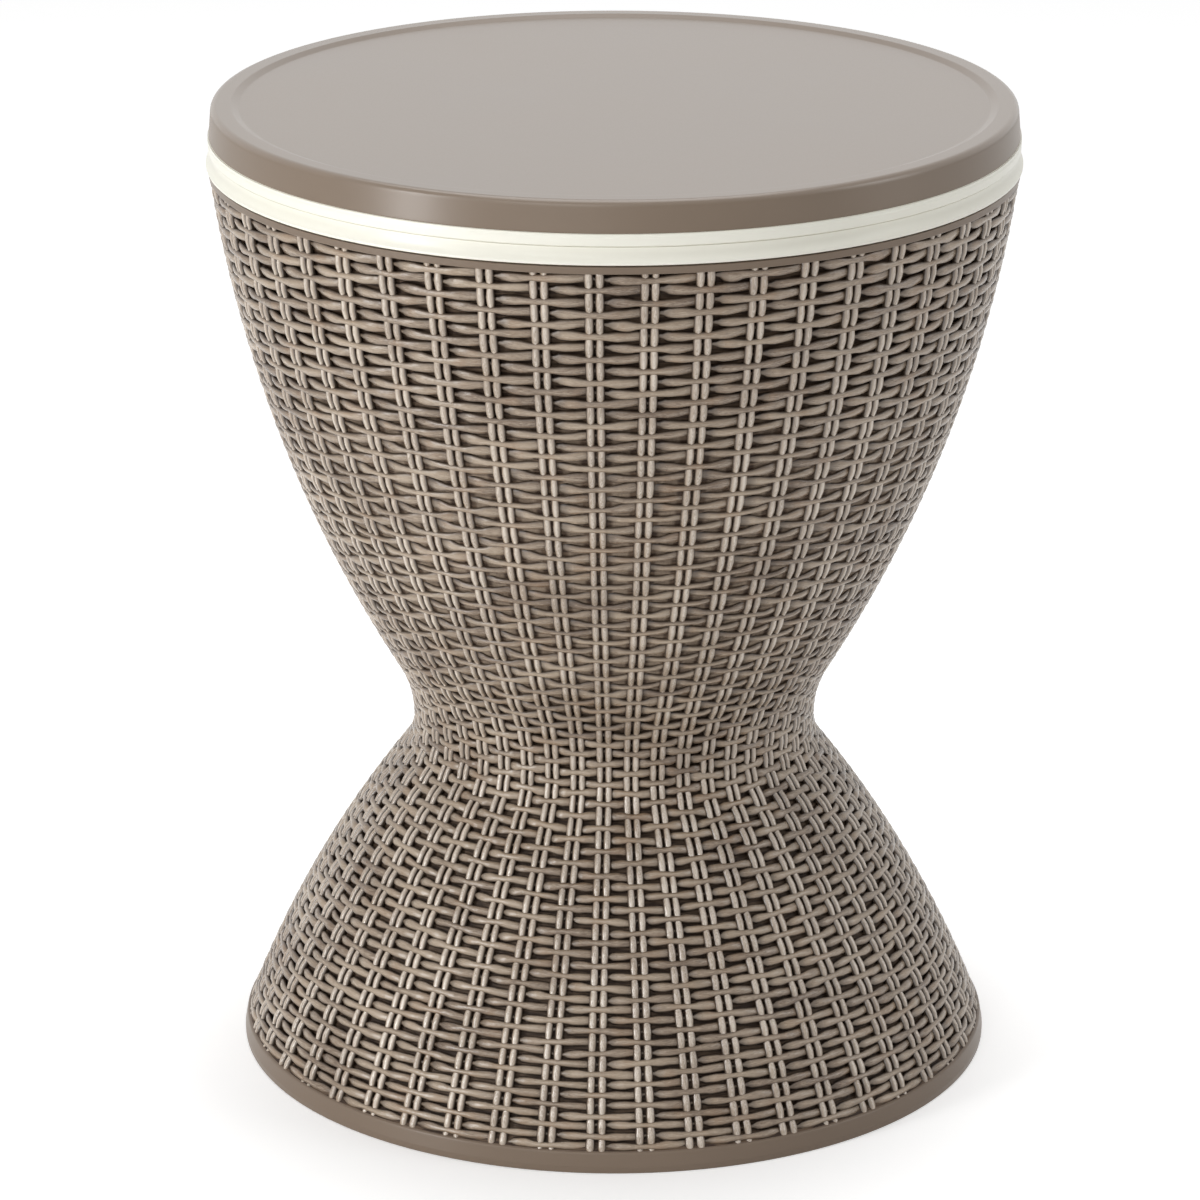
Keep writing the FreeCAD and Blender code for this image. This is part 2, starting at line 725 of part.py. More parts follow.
pole_foot = new_body("pole_foot")
lug_sketch = new_sketch(pole_foot, "lug_sketch", "XY_Plane", dim["pole_foot_height"])
add_keyed_circle(lug_sketch, dim["pole_radius"], dim["lug_radius"], dim["lug_half"])
pad(pole_foot, "lugs", lug_sketch, dim["lug_height"])
spigot_sketch = new_sketch(pole_foot, "spigot_sketch", "XY_Plane", dim["pole_foot_height"] + 1)
add_circle(spigot_sketch, 0, 0, dim["pole_radius"] - dim["pole_wall"] - 0.1)
pad(pole_foot, "spigot", spigot_sketch, dim["lug_height"] - 1 + dim["foot_spigot"])
hollow_sketch = new_sketch(pole_foot, "hollow_sketch", "XY_Plane", dim["pole_foot_height"] - 1)
add_circle(hollow_sketch, 0, 0, dim["pole_radius"] - dim["pole_wall"] - dim["foot_wall"])
pocket(pole_foot, "foot_hollow", hollow_sketch, dim["lug_height"] + dim["foot_spigot"] + 5)
foot_pin_sketch = new_sketch(pole_foot, "foot_pin_sketch", "XZ_Plane")
add_circle(foot_pin_sketch, 0, pin_height, dim["foot_pin_radius"] + 0.05)
foot_pin_hole = pocket(pole_foot, "foot_pin_hole", foot_pin_sketch, 60)
foot_pin_hole.Midplane = True

foot_pin = new_body("foot_pin")
pin_sketch = new_sketch(foot_pin, "pin_sketch", "XZ_Plane")
add_circle(pin_sketch, 0, pin_height, dim["foot_pin_radius"])
pin = pad(foot_pin, "pin", pin_sketch, dim["pole_radius"] * 2 - 0.6)
pin.Midplane = True

pole_flange = new_body("pole_flange")
turn(pole_flange, "flange_disc", [
    (0, tube_top),
    (dim["pole_radius"] + 0.1, tube_top),
    (dim["pole_radius"] + 0.1, tube_top - dim["socket_depth"]),
    (dim["pole_radius"] + 4.1, tube_top - dim["socket_depth"]),
    (dim["pole_radius"] + 5, tube_top - 8),
    (dim["pole_radius"] + 11, tube_top),
    (dim["socket_flange_radius"], tube_top),
    (dim["socket_flange_radius"], pan_foot),
    (0, pan_foot),
])
add_holes(
    pole_flange, "flange_holes", dim["flange_screw_circle"], dim["screw_hole"],
    tube_top - 1, dim["socket_flange_wall"] + 2, flange_screw_count
)


# Lid: cream underside whose shallow pan sits in the bucket's mouth, and the taupe cover over it

lid_band_foot = dim["bucket_top"] + dim["lid_gap"]
skirt_foot = dim["table_height"] - dim["skirt_height"]
rest_foot = pan_foot + dim["pan_depth"]
pan_top = pan_foot + dim["lid_wall"]
lid_underside = new_body("lid_underside")
turn(lid_underside, "underside_pan", [
    (0, pan_foot),
    (dim["pan_radius"], pan_foot),
    (dim["pan_radius"] + 0.8, rest_foot),
    (dim["lid_band_radius"] - 3.5, rest_foot),
    (dim["lid_band_radius"] - 3.5, lid_band_foot),
    (dim["lid_band_radius"] - 0.8, lid_band_foot),
    (dim["lid_band_radius"], lid_band_foot + 0.8),
    (dim["lid_band_radius"], skirt_foot),
    (dim["lid_band_radius"] - 5.7, skirt_foot),
    (dim["lid_band_radius"] - 5.7, skirt_foot + 5),
    (dim["lid_band_radius"] - 8.7, skirt_foot + 5),
    (dim["lid_band_radius"] - 8.7, rest_foot + dim["lid_wall"]),
    (dim["pan_radius"] - dim["lid_wall"] + 0.8, rest_foot + dim["lid_wall"]),
    (dim["pan_radius"] - dim["lid_wall"], pan_top),
    (0, pan_top),
])
add_holes(
    lid_underside, "edge_holes", dim["lid_screw_circle"], dim["screw_hole"],
    pan_foot - 1, dim["lid_wall"] + 2, lid_screw_count, lid_screw_turn
)
add_holes(
    lid_underside, "centre_holes", dim["flange_screw_circle"], dim["screw_hole"],
    pan_foot - 1, dim["lid_wall"] + 2, flange_screw_count
)

tabletop_cover = new_body("tabletop_cover")
panel_top = dim["table_height"] - dim["panel_step"]
cover_radius = dim["skirt_radius"] - dim["skirt_taper"]
panel_under = panel_top - dim["lid_wall"]
turn(tabletop_cover, "cover_panel", [
    (0, panel_under),
    (cover_radius - dim["lid_wall"], panel_under),
    (dim["skirt_radius"] - dim["lid_wall"], skirt_foot),
    (dim["skirt_radius"], skirt_foot),
    (cover_radius + 0.3, dim["table_height"] - dim["skirt_rounding"] * 0.94),
    (cover_radius - dim["skirt_rounding"] * 0.94, dim["table_height"], dim["skirt_rounding"]),
    (cover_radius - dim["rim_width"], dim["table_height"]),
    (cover_radius - dim["rim_width"] - dim["step_width"], panel_top),
    (0, panel_top),
])
add_bosses(
    tabletop_cover, "edge_bosses", dim["lid_screw_circle"], dim["lid_boss_radius"],
    pan_top, panel_under + 1, lid_screw_count, lid_screw_turn
)
add_bosses(
    tabletop_cover, "centre_bosses", dim["flange_screw_circle"], dim["lid_boss_radius"],
    pan_top, panel_under + 1, flange_screw_count
)
add_holes(
    tabletop_cover, "edge_pilots", dim["lid_screw_circle"], dim["screw_pilot"],
    pan_top - 1, 16, lid_screw_count, lid_screw_turn
)
add_holes(
    tabletop_cover, "centre_pilots", dim["flange_screw_circle"], dim["screw_pilot"],
    pan_top - 1, 16, flange_screw_count
)

lid_screws = make_screws("lid_screws", dim["lid_screw_circle"], pan_foot, 14, lid_screw_count, lid_screw_turn)
flange_screws = make_screws("flange_screws", dim["flange_screw_circle"], tube_top, 20, flange_screw_count)


# Drain: through fitting with its gasket and nut, and a pull-out plug with a sealing ring

gasket_top = floor_top + dim["gasket_wall"]
fitting_top = gasket_top + dim["collar_wall"]

drain_gasket = new_body("drain_gasket")
turn(drain_gasket, "gasket_ring", [
    (dim["drain_barrel"] + 0.2, floor_top),
    (dim["drain_collar"], floor_top),
    (dim["drain_collar"], gasket_top),
    (dim["drain_barrel"] + 0.2, gasket_top),
])

drain_fitting = new_body("drain_fitting")
turn(drain_fitting, "fitting_body", [
    (dim["drain_bore"], floor_top - dim["drain_length"]),
    (dim["drain_barrel"], floor_top - dim["drain_length"]),
    (dim["drain_barrel"], gasket_top),
    (dim["drain_collar"], gasket_top),
    (dim["drain_collar"] - 1, fitting_top),
    (dim["drain_bore"], fitting_top),
])

drain_nut = new_body("drain_nut")
nut_sketch = new_sketch(drain_nut, "nut_sketch", "XY_Plane", dim["bucket_floor"] - dim["nut_wall"])
nut_directions = [math.radians(60 * side) for side in range(6)]
add_outline(nut_sketch, [
    (dim["drain_collar"] * math.cos(angle), dim["drain_collar"] * math.sin(angle)) for angle in nut_directions
])
add_circle(nut_sketch, 0, 0, dim["drain_barrel"] + 0.1)
pad(drain_nut, "nut", nut_sketch, dim["nut_wall"])

plug_ring_low = fitting_top - 8
plug_ring_high = fitting_top - 6
plug_head = fitting_top + dim["lid_gap"]
drain_plug = new_body("drain_plug")
turn(drain_plug, "plug_body", [
    (0, fitting_top - dim["plug_length"]),
    (dim["plug_radius"], fitting_top - dim["plug_length"]),
    (dim["plug_radius"], plug_ring_low),
    (dim["plug_groove"], plug_ring_low),
    (dim["plug_groove"], plug_ring_high),
    (dim["plug_radius"], plug_ring_high),
    (dim["plug_radius"], plug_head),
    (dim["plug_head_radius"], plug_head),
    (dim["plug_head_radius"] - 1, plug_head + dim["plug_head_wall"]),
    (0, plug_head + dim["plug_head_wall"]),
])
grip_sketch = new_sketch(drain_plug, "grip_sketch", "XZ_Plane")
add_outline(grip_sketch, [
    (-dim["grip_half"], plug_head + 2),
    (dim["grip_half"], plug_head + 2),
    (dim["grip_half"], plug_head + 9),
    (-dim["grip_half"], plug_head + 9, dim["grip_arch"]),
])
grip = pad(drain_plug, "grip", grip_sketch, dim["grip_wall"])
grip.Midplane = True

plug_ring = new_body("plug_ring")
turn(plug_ring, "ring_body", [
    (dim["plug_groove"], plug_ring_low),
    (dim["drain_bore"] - 0.07, plug_ring_low),
    (dim["drain_bore"] - 0.07, plug_ring_high),
    (dim["plug_groove"], plug_ring_high),
])

for piece in (drain_gasket, drain_fitting, drain_nut, drain_plug, plug_ring):
    piece.setExpression("Placement.Base.y", dim["drain_offset"].words)

doc.recompute()

subparts = [
    lower_shell, upper_shell, waist_screws, cooler_bucket, rim_screws, guide_sleeve, sleeve_screws,
    turn_bush, column_cap, pole_tube, pole_foot, foot_pin, pole_flange, flange_screws,
    lid_underside, tabletop_cover, lid_screws,
    drain_fitting, drain_gasket, drain_nut, drain_plug, plug_ring,
]

for item in doc.Objects:
    if "Invalid" in item.State or "Error" in item.State:
        raise RuntimeError(item.Name + " failed: " + str(item.State))
for item in subparts:
    if item.Shape.isNull() or not item.Shape.isValid():
        raise RuntimeError(item.Label + " has no valid shape")

os.makedirs("parts", exist_ok=True)
for item in subparts:
    item.Shape.exportStep("parts/" + item.Label + ".step")
    print(item.Label, len(item.Shape.Solids), "solid(s)", round(item.Shape.Volume / 1000, 1), "cm3")
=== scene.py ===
import bpy
import bmesh
import math
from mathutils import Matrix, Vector


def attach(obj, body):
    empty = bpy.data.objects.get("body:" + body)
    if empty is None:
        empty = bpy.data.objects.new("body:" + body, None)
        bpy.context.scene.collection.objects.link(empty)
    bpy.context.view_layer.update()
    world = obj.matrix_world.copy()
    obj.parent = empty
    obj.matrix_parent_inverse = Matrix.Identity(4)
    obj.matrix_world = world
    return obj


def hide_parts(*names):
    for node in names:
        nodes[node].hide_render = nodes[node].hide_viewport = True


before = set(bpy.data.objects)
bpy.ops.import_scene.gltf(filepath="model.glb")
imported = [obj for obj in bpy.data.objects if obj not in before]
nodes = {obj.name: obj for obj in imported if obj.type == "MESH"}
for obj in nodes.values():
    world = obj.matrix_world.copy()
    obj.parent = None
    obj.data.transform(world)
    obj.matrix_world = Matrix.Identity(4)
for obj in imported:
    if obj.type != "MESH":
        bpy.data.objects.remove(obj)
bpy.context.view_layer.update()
mm = 0.001
print("frame loaded:", len(nodes), "CAD nodes")


# a node's output as a value that can be added, multiplied and compared like a number
class Wire:
    def __init__(self, board, socket):
        self.board = board
        self.socket = socket

    def __add__(self, other):
        return self.board.maths("ADD", self, other)

    def __radd__(self, other):
        return self.board.maths("ADD", other, self)

    def __sub__(self, other):
        return self.board.maths("SUBTRACT", self, other)

    def __rsub__(self, other):
        return self.board.maths("SUBTRACT", other, self)

    def __mul__(self, other):
        return self.board.maths("MULTIPLY", self, other)

    def __rmul__(self, other):
        return self.board.maths("MULTIPLY", other, self)

    def __truediv__(self, other):
        return self.board.maths("DIVIDE", self, other)

    def __rtruediv__(self, other):
        return self.board.maths("DIVIDE", other, self)

    def __pow__(self, other):
        return self.board.maths("POWER", self, other)

    def __neg__(self):
        return self.board.maths("MULTIPLY", self, -1)

    def __lt__(self, other):
        return self.board.maths("LESS_THAN", self, other)

    def __gt__(self, other):
        return self.board.maths("GREATER_THAN", self, other)


# a node tree to add nodes to
class Board:
    def __init__(self, tree):
        self.tree = tree

    # any node: its settings first, then its inputs by name or number; several outputs come back as a list
    def add(self, kind, settings=None, inputs=None, output=0):
        node = self.tree.nodes.new(kind)
        for key, value in (settings or {}).items():
            setattr(node, key, value)
        for key, value in (inputs or {}).items():
            self.plug(node.inputs[key], value)
        if isinstance(output, tuple):
            return [Wire(self, node.outputs[key]) for key in output]
        return Wire(self, node.outputs[output])

    # a list plugs several wires into one socket
    def plug(self, socket, value):
        if isinstance(value, list):
            for wire in value:
                self.plug(socket, wire)
        elif isinstance(value, Wire):
            self.tree.links.new(value.socket, socket)
        else:
            socket.default_value = value

    def maths(self, operation, *values):
        return self.add("ShaderNodeMath", {"operation": operation}, dict(enumerate(values)))

    def clamped(self, value, low=0.0, high=1.0):
        return self.maths("MINIMUM", self.maths("MAXIMUM", value, low), high)

    # 0 below low, 1 above high, and a soft step between them
    def smooth(self, value, low, high):
        return self.add(
            "ShaderNodeMapRange", {"interpolation_type": "SMOOTHSTEP"},
            {"Value": value, "From Min": low, "From Max": high},
        )

    def vector(self, operation, first, second=(0, 0, 0), output="Vector"):
        return self.add("ShaderNodeVectorMath", {"operation": operation}, {0: first, 1: second}, output)

    def scaled(self, vector, factor):
        return self.add("ShaderNodeVectorMath", {"operation": "SCALE"}, {"Vector": vector, "Scale": factor})

    def joined(self, x, y, z):
        return self.add("ShaderNodeCombineXYZ", None, {0: x, 1: y, 2: z})

    def split(self, vector):
        return self.add("ShaderNodeSeparateXYZ", None, {0: vector}, ("X", "Y", "Z"))

    # inputs 6 and 7 and output 2 are the Mix node's colours
    def mixed(self, factor, first, second):
        return self.add("ShaderNodeMix", {"data_type": "RGBA"}, {0: factor, 6: first, 7: second}, 2)

    def attribute(self, name):
        return self.add("ShaderNodeAttribute", {"attribute_name": name}, None, "Fac")

    def noise(self, vector, scale, detail=2.0, roughness=0.5):
        return self.add(
            "ShaderNodeTexNoise", None,
            {"Vector": vector, "Scale": scale, "Detail": detail, "Roughness": roughness},
        )


# a colour as a paint chart gives it, made linear
def paint(red, green, blue):
    def linear(value):
        value = value / 255
        return value / 12.92 if value <= 0.04045 else ((value + 0.055) / 1.055) ** 2.4
    return (linear(red), linear(green), linear(blue), 1.0)


# a material's node board, its shader, and the place on the object in metres
def newMaterial(name):
    material = bpy.data.materials.new(name)
    material.use_nodes = True
    shader = material.node_tree.nodes["Principled BSDF"]
    board = Board(material.node_tree)
    place = board.add("ShaderNodeTexCoord", output="Object")
    return material, board, shader, place


def bumpInto(board, shader, height, strength, distance):
    normal = board.add("ShaderNodeBump", None, {"Strength": strength, "Distance": distance, "Height": height})
    board.plug(shader.inputs["Normal"], normal)


# the pedestal's outline in millimetres; turn is the first stake pair's angle from +X in degrees
pedestal = {"topHeight": 548.5, "waistHeight": 206.0, "waistRadius": 122.2, "pairs": 48, "turn": -2.7}

# how fine the strands' patches, grain, dents and warm spots are, and how strongly each shows
strandPattern = {
    "patches": 22.0, "grain": 260.0, "dents": 420.0, "warmSpots": 60.0,
    "toneShare": 0.7, "patchShare": 0.8, "grainShare": 0.8, "warmShare": 0.5,
    "diveShade": 0.55, "sideShade": 0.85, "bump": 0.5, "bumpHeight": 0.0005,  # metres
}
# in each look, the colour for the crest is a painted highlight and the colour for the deep parts is painted
# shade
weaverLook = {
    "dark": paint(110, 91, 74), "light": paint(168, 150, 129), "warm": paint(150, 123, 97),
    "shadeColour": paint(36, 24, 16), "crest": paint(186, 169, 149), "crestShare": 0.6,
    "roughness": 0.24, "shine": 0.6, "dents": 0.8,
    "grainRun": (1, 1, 7),  # the grain runs level
}
stakeLook = {
    "dark": paint(132, 113, 95), "light": paint(182, 164, 144), "warm": paint(152, 128, 103),
    "shadeColour": paint(40, 27, 18), "crest": paint(234, 223, 208), "crestShare": 0.62,
    "roughness": 0.13, "shine": 1.0, "dents": 0.4,
    "grainRun": (6, 6, 1),  # the grain runs upright
}


# strand resin: each run has its own tone, a painted highlight along its crest, and painted shade down its
# sides and where it dives under the next pair
def makeStrandResin(name, look):
    material, board, shader, place = newMaterial(name)
    pattern = strandPattern
    tone, dive = board.attribute("tone"), board.attribute("dive")
    side = board.maths("ABSOLUTE", board.attribute("side"))
    patches = board.noise(place, pattern["patches"], 3.0)
    grain = board.noise(board.vector("MULTIPLY", place, look["grainRun"]), pattern["grain"], 3.0, 0.6)
    dents = board.noise(place, pattern["dents"])
    share = tone * pattern["toneShare"] + (patches - 0.5) * pattern["patchShare"]
    share = board.clamped(share + (grain - 0.5) * pattern["grainShare"] + 0.15)
    colour = board.mixed(share, look["dark"], look["light"])
    warmth = board.smooth(board.noise(place, pattern["warmSpots"], 1.0), 0.5, 0.72) * pattern["warmShare"]
    colour = board.mixed(warmth, colour, look["warm"])
    # painted highlight: a lighter colour along each strand's crest, broken up by its grain and patches
    onCrest = 1 - board.smooth(side, 0.05, 0.6)
    paintedHighlight = onCrest * board.smooth(grain + patches, 0.75, 1.2) * look["crestShare"]
    colour = board.mixed(paintedHighlight, colour, look["crest"])
    # painted shade: darker where a run dives under the next pair and down each strand's sides
    diving = board.smooth(-dive, 0.2, 1.0) * pattern["diveShade"]
    depth = board.clamped(diving + board.smooth(side, 0.5, 1.0) * pattern["sideShade"])
    colour = board.mixed(depth, colour, look["shadeColour"])
    board.plug(shader.inputs["Base Color"], colour)
    board.plug(shader.inputs["Roughness"], look["roughness"] + (grain - 0.5) * 0.2 + depth * 0.25)
    shader.inputs["Specular IOR Level"].default_value = look["shine"]
    relief = grain * 0.6 + dents * look["dents"]
    bumpInto(board, shader, relief, pattern["bump"], pattern["bumpHeight"])
    return material


# the wall's colours; its woven part and where the weave starts and stops being filled are heights in metres
backingLook = {
    "gapShade": paint(46, 31, 20), "gapStreaks": paint(92, 75, 60), "fill": paint(104, 89, 75),
    "fillStreaks": paint(142, 126, 109), "inside": paint(120, 104, 89), "band": paint(126, 110, 95),
    "wovenFrom": 0.013, "wovenTo": 0.5484, "fillStart": (0.222, 0.275), "fillEnd": (0.42, 0.48),
    "fillEdge": (0.13, 0.23),  # from the middle between two stake pairs, where 0.5 is at a pair
}


# the wall behind the strands: near black in the gaps and next to the stake pairs, which is painted shade,
# strand coloured between the stakes where the weave is filled, and plain resin on the smooth bands and
# indoors
def makeBackingResin():
    material, board, shader, place = newMaterial("backingResin")
    look = backingLook
    across, along, height = board.split(place)
    facing = board.add("ShaderNodeNewGeometry", output="Normal")
    outward = board.vector("NORMALIZE", board.joined(across, along, 0.0))
    isOutside = board.vector("DOT_PRODUCT", facing, outward, "Value") > 0.2
    woven = (height > look["wovenFrom"]) * (height < look["wovenTo"]) * isOutside
    grain = board.noise(place, 420.0, 3.0, 0.6)
    patches = board.noise(place, 9.0)
    plain = board.mixed(patches, look["inside"], look["band"])
    streaks = board.smooth(board.noise(board.vector("MULTIPLY", place, (1, 1, 10)), 60.0), 0.42, 0.6)
    threads = board.noise(board.vector("MULTIPLY", place, (5, 5, 1)), 260.0)
    angle = board.maths("ARCTAN2", along, across) - math.radians(pedestal["turn"])
    pairShare = board.maths("FRACT", angle * (pedestal["pairs"] / (2 * math.pi)))
    fromMiddle = board.maths("ABSOLUTE", pairShare - 0.5)
    filled = board.smooth(height, *look["fillStart"]) * (1 - board.smooth(height, *look["fillEnd"]))
    filled = filled * (1 - board.smooth(fromMiddle, *look["fillEdge"]))
    # painted shade: the gap colour is near black where the recesses between the strands fall in shade
    gapShade = board.mixed(streaks, look["gapShade"], look["gapStreaks"])
    fillShare = board.clamped(streaks * 0.7 + (threads - 0.35) * 0.9)
    fill = board.mixed(fillShare, look["fill"], look["fillStreaks"])
    board.plug(shader.inputs["Base Color"], board.mixed(woven, plain, board.mixed(filled, gapShade, fill)))
    board.plug(shader.inputs["Roughness"], 0.34 + woven * 0.3 + (grain - 0.5) * 0.1)
    shader.inputs["Specular IOR Level"].default_value = 0.3
    bumpInto(board, shader, grain, 0.12, 0.0001)
    return material


# painted shade in the seam where the closed lid meets the rim and in the hollow below it: heights, half
# widths and the radius that it starts at in metres, and how strongly it shows
rimShade = {
    "colour": paint(172, 166, 142), "outside": 0.236,
    "seam": 0.56415, "seamWidth": 0.0006, "seamShare": 0.5,
    "hollow": 0.5605, "hollowWidth": 0.0045, "hollowShare": 0.12,
}


def rimShadeShare(board, place):
    across, along, height = board.split(place)
    fromSeam = board.maths("ABSOLUTE", height - rimShade["seam"])
    fromHollow = board.maths("ABSOLUTE", height - rimShade["hollow"])
    inSeam = (1 - board.smooth(fromSeam, 0.0, rimShade["seamWidth"])) * rimShade["seamShare"]
    inHollow = (1 - board.smooth(fromHollow, 0.0, rimShade["hollowWidth"])) * rimShade["hollowShare"]
    outside = board.maths("SQRT", across * across + along * along) > rimShade["outside"]
    return board.clamped(inSeam + inHollow) * outside


# how fine the blotches and the grain of satin plastic are, and its polished coat, which sets in between two
# heights in metres
satin = {
    "blotches": 7.0, "grain": 1400.0, "grainHeight": 0.00005, "uneven": 0.08,
    "coat": 0.65, "coatRoughness": 0.25, "coatFrom": 0.5868, "coatTo": 0.5882,
}


# smooth moulded plastic in any colour, with faint blotches and a fine satin grain
def makeSatinPlastic(name, colour, blotch, roughness, grainDepth, polished=False, rimShaded=False):
    material, board, shader, place = newMaterial(name)
    blotches = board.noise(place, satin["blotches"], 3.0)
    grain = board.noise(place, satin["grain"], 2.0, 0.6)
    tint = board.mixed(board.smooth(blotches, 0.3, 0.7), colour, blotch)
    # painted shade in the seam under the closed lid and in the rim's hollow
    if rimShaded:
        tint = board.mixed(rimShadeShare(board, place), tint, rimShade["colour"])
    board.plug(shader.inputs["Base Color"], tint)
    uneven = (blotches - 0.5) * satin["uneven"] + (grain - 0.5) * satin["uneven"]
    board.plug(shader.inputs["Roughness"], roughness + uneven)
    if polished:
        height = board.split(place)[2]
        coat = board.smooth(height, satin["coatFrom"], satin["coatTo"]) * satin["coat"]
        board.plug(shader.inputs["Coat Weight"], coat)
        shader.inputs["Coat Roughness"].default_value = satin["coatRoughness"]
    bumpInto(board, shader, grain, grainDepth, satin["grainHeight"])
    return material


def makeSealRubber():
    material, board, shader, place = newMaterial("sealRubber")
    dust = board.noise(place, 160.0, 4.0, 0.7)
    board.plug(shader.inputs["Base Color"], board.mixed(dust, paint(24, 24, 24), paint(52, 51, 49)))
    board.plug(shader.inputs["Roughness"], 0.6 + (dust - 0.5) * 0.2)
    bumpInto(board, shader, dust, 0.1, 0.0001)
    return material


def makeScrewSteel():
    material, board, shader, place = newMaterial("screwSteel")
    brushed = board.noise(board.vector("MULTIPLY", place, (1, 1, 12)), 700.0, 3.0, 0.7)
    board.plug(shader.inputs["Base Color"], board.mixed(brushed, paint(150, 149, 146), paint(196, 194, 190)))
    board.plug(shader.inputs["Roughness"], 0.28 + brushed * 0.2)
    shader.inputs["Metallic"].default_value = 1.0
    return material


weaverResin = makeStrandResin("weaverResin", weaverLook)
stakeResin = makeStrandResin("stakeResin", stakeLook)
backingResin = makeBackingResin()
coverResin = makeSatinPlastic(
    "coverResin", paint(120, 104, 88), paint(124, 108, 92), 0.34, 0.1, polished=True,
)
creamResin = makeSatinPlastic(
    "creamResin", paint(245, 243, 231), paint(242, 240, 227), 0.33, 0.06, rimShaded=True,
)
poleResin = makeSatinPlastic("poleResin", paint(226, 223, 211), paint(220, 217, 205), 0.3, 0.06)
greyMoulding = makeSatinPlastic("greyMoulding", paint(132, 131, 127), paint(124, 123, 119), 0.42, 0.1)
sealRubber = makeSealRubber()
screwSteel = makeScrewSteel()

nodeFinish = {
    "lower_shell": backingResin, "upper_shell": backingResin,
    "cooler_bucket": creamResin, "lid_underside": creamResin, "column_cap": creamResin,
    "tabletop_cover": coverResin,
    "pole_tube": poleResin, "pole_flange": poleResin,
    "pole_foot": greyMoulding, "guide_sleeve": greyMoulding, "turn_bush": greyMoulding,
    "drain_fitting": greyMoulding, "drain_nut": greyMoulding, "drain_plug": greyMoulding,
    "drain_gasket": sealRubber, "plug_ring": sealRubber,
    "waist_screws": screwSteel, "rim_screws": screwSteel, "sleeve_screws": screwSteel,
    "lid_screws": screwSteel, "flange_screws": screwSteel, "foot_pin": screwSteel,
}
for nodeName, finish in nodeFinish.items():
    nodes[nodeName].data.materials.clear()
    nodes[nodeName].data.materials.append(finish)
print("finishes made:", len(bpy.data.materials))


# the two bulges of the pedestal, arcs in millimetres: each goes through one point beside its smooth band, and
# a small arc at the waist joins them; base is where the rows of strands start, firstPitch is how tall the
# lowest row is, and each row is taller than the one below it by growth
upperBulge = {
    "radius": 797.0, "centreHeight": 655.2, "throughRadius": 239.6, "throughHeight": 548.5,
    "base": 206.0, "rows": 51, "rowsPerPiece": 17, "firstPitch": 6.4, "growth": 0.01238,
}
lowerBulge = {
    "radius": 676.9, "centreHeight": -232.0, "throughRadius": 227.9, "throughHeight": 10.6,
    "base": 12.9, "rows": 34, "rowsPerPiece": 17, "firstPitch": 5.483, "growth": 0.01157,
}

# the arcs' centres, and the small arc's radius (bend) and height (reach), so that it meets both smoothly
for bulge in (upperBulge, lowerBulge):
    drop = bulge["centreHeight"] - bulge["throughHeight"]
    bulge["centreRadius"] = bulge["throughRadius"] - math.sqrt(bulge["radius"] ** 2 - drop ** 2)
    across = pedestal["waistRadius"] - bulge["centreRadius"]
    rise = abs(bulge["centreHeight"] - pedestal["waistHeight"])
    bulge["bend"] = (across ** 2 + rise ** 2 - bulge["radius"] ** 2) / (2 * (bulge["radius"] - across))
    bulge["reach"] = bulge["bend"] * rise / (bulge["radius"] + bulge["bend"])


def pedestalRadius(bulge, height):
    fromWaist = abs(height - pedestal["waistHeight"])
    if fromWaist < bulge["reach"]:
        return pedestal["waistRadius"] + bulge["bend"] - math.sqrt(bulge["bend"] ** 2 - fromWaist ** 2)
    return bulge["centreRadius"] + math.sqrt(bulge["radius"] ** 2 - (height - bulge["centreHeight"]) ** 2)


# rounds the corners of an outline, given as (radius, height) or (radius, height, rounding), and adds a point
# beside each rounding, so that flats stay flat
def roundedOutline(corners, steps=5):
    points = []
    for index, corner in enumerate(corners):
        here = Vector(corner[:2])
        rounding = corner[2] if len(corner) > 2 else 0
        back = Vector(corners[index - 1][:2]) - here
        onward = Vector(corners[(index + 1) % len(corners)][:2]) - here
        turn = back.angle(onward)
        if rounding == 0 or turn > math.radians(178):
            points.append(here)
            continue
        trim = min(rounding / math.tan(turn / 2), back.length * 0.45, onward.length * 0.45)
        rounding = trim * math.tan(turn / 2)
        start = here + back.normalized() * trim
        end = here + onward.normalized() * trim
        between = (back.normalized() + onward.normalized()).normalized()
        centre = here + between * (rounding / math.sin(turn / 2))
        points.append(start + back.normalized() * min(0.5, back.length * 0.05))
        for step in range(steps + 1):
            spoke = (start - centre).slerp(end - centre, step / steps)
            points.append(centre + spoke.normalized() * rounding)
        points.append(end + onward.normalized() * min(0.5, onward.length * 0.05))
    return points


# turns an outline about the table's axis; a point on the axis closes the piece there
def turnedPiece(name, outline, finish, body, segments):
    sheet = bmesh.new()
    rings = []
    for radius, height in outline:
        if radius < 1e-6:
            rings.append([sheet.verts.new((0, 0, height * mm))])
            continue
        ring = []
        for step in range(segments):
            angle = 2 * math.pi * step / segments
            spot = (radius * math.cos(angle) * mm, radius * math.sin(angle) * mm, height * mm)
            ring.append(sheet.verts.new(spot))
        rings.append(ring)
    for index, ring in enumerate(rings):
        after = rings[(index + 1) % len(rings)]
        if len(ring) == 1 and len(after) == 1:
            continue
        for step in range(segments):
            corners = [ring[step % len(ring)], ring[(step + 1) % len(ring)]]
            corners += [after[(step + 1) % len(after)], after[step % len(after)]]
            corners = list(dict.fromkeys(corners))
            if len(corners) > 2:
                sheet.faces.new(corners)
    bmesh.ops.recalc_face_normals(sheet, faces=sheet.faces)
    mesh = bpy.data.meshes.new(name)
    sheet.to_mesh(mesh)
    sheet.free()
    mesh.shade_smooth()
    mesh.set_sharp_from_angle(angle=math.radians(38))
    mesh.materials.append(finish)
    piece = bpy.data.objects.new(name, mesh)
    bpy.context.scene.collection.objects.link(piece)
    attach(piece, body)
    return piece


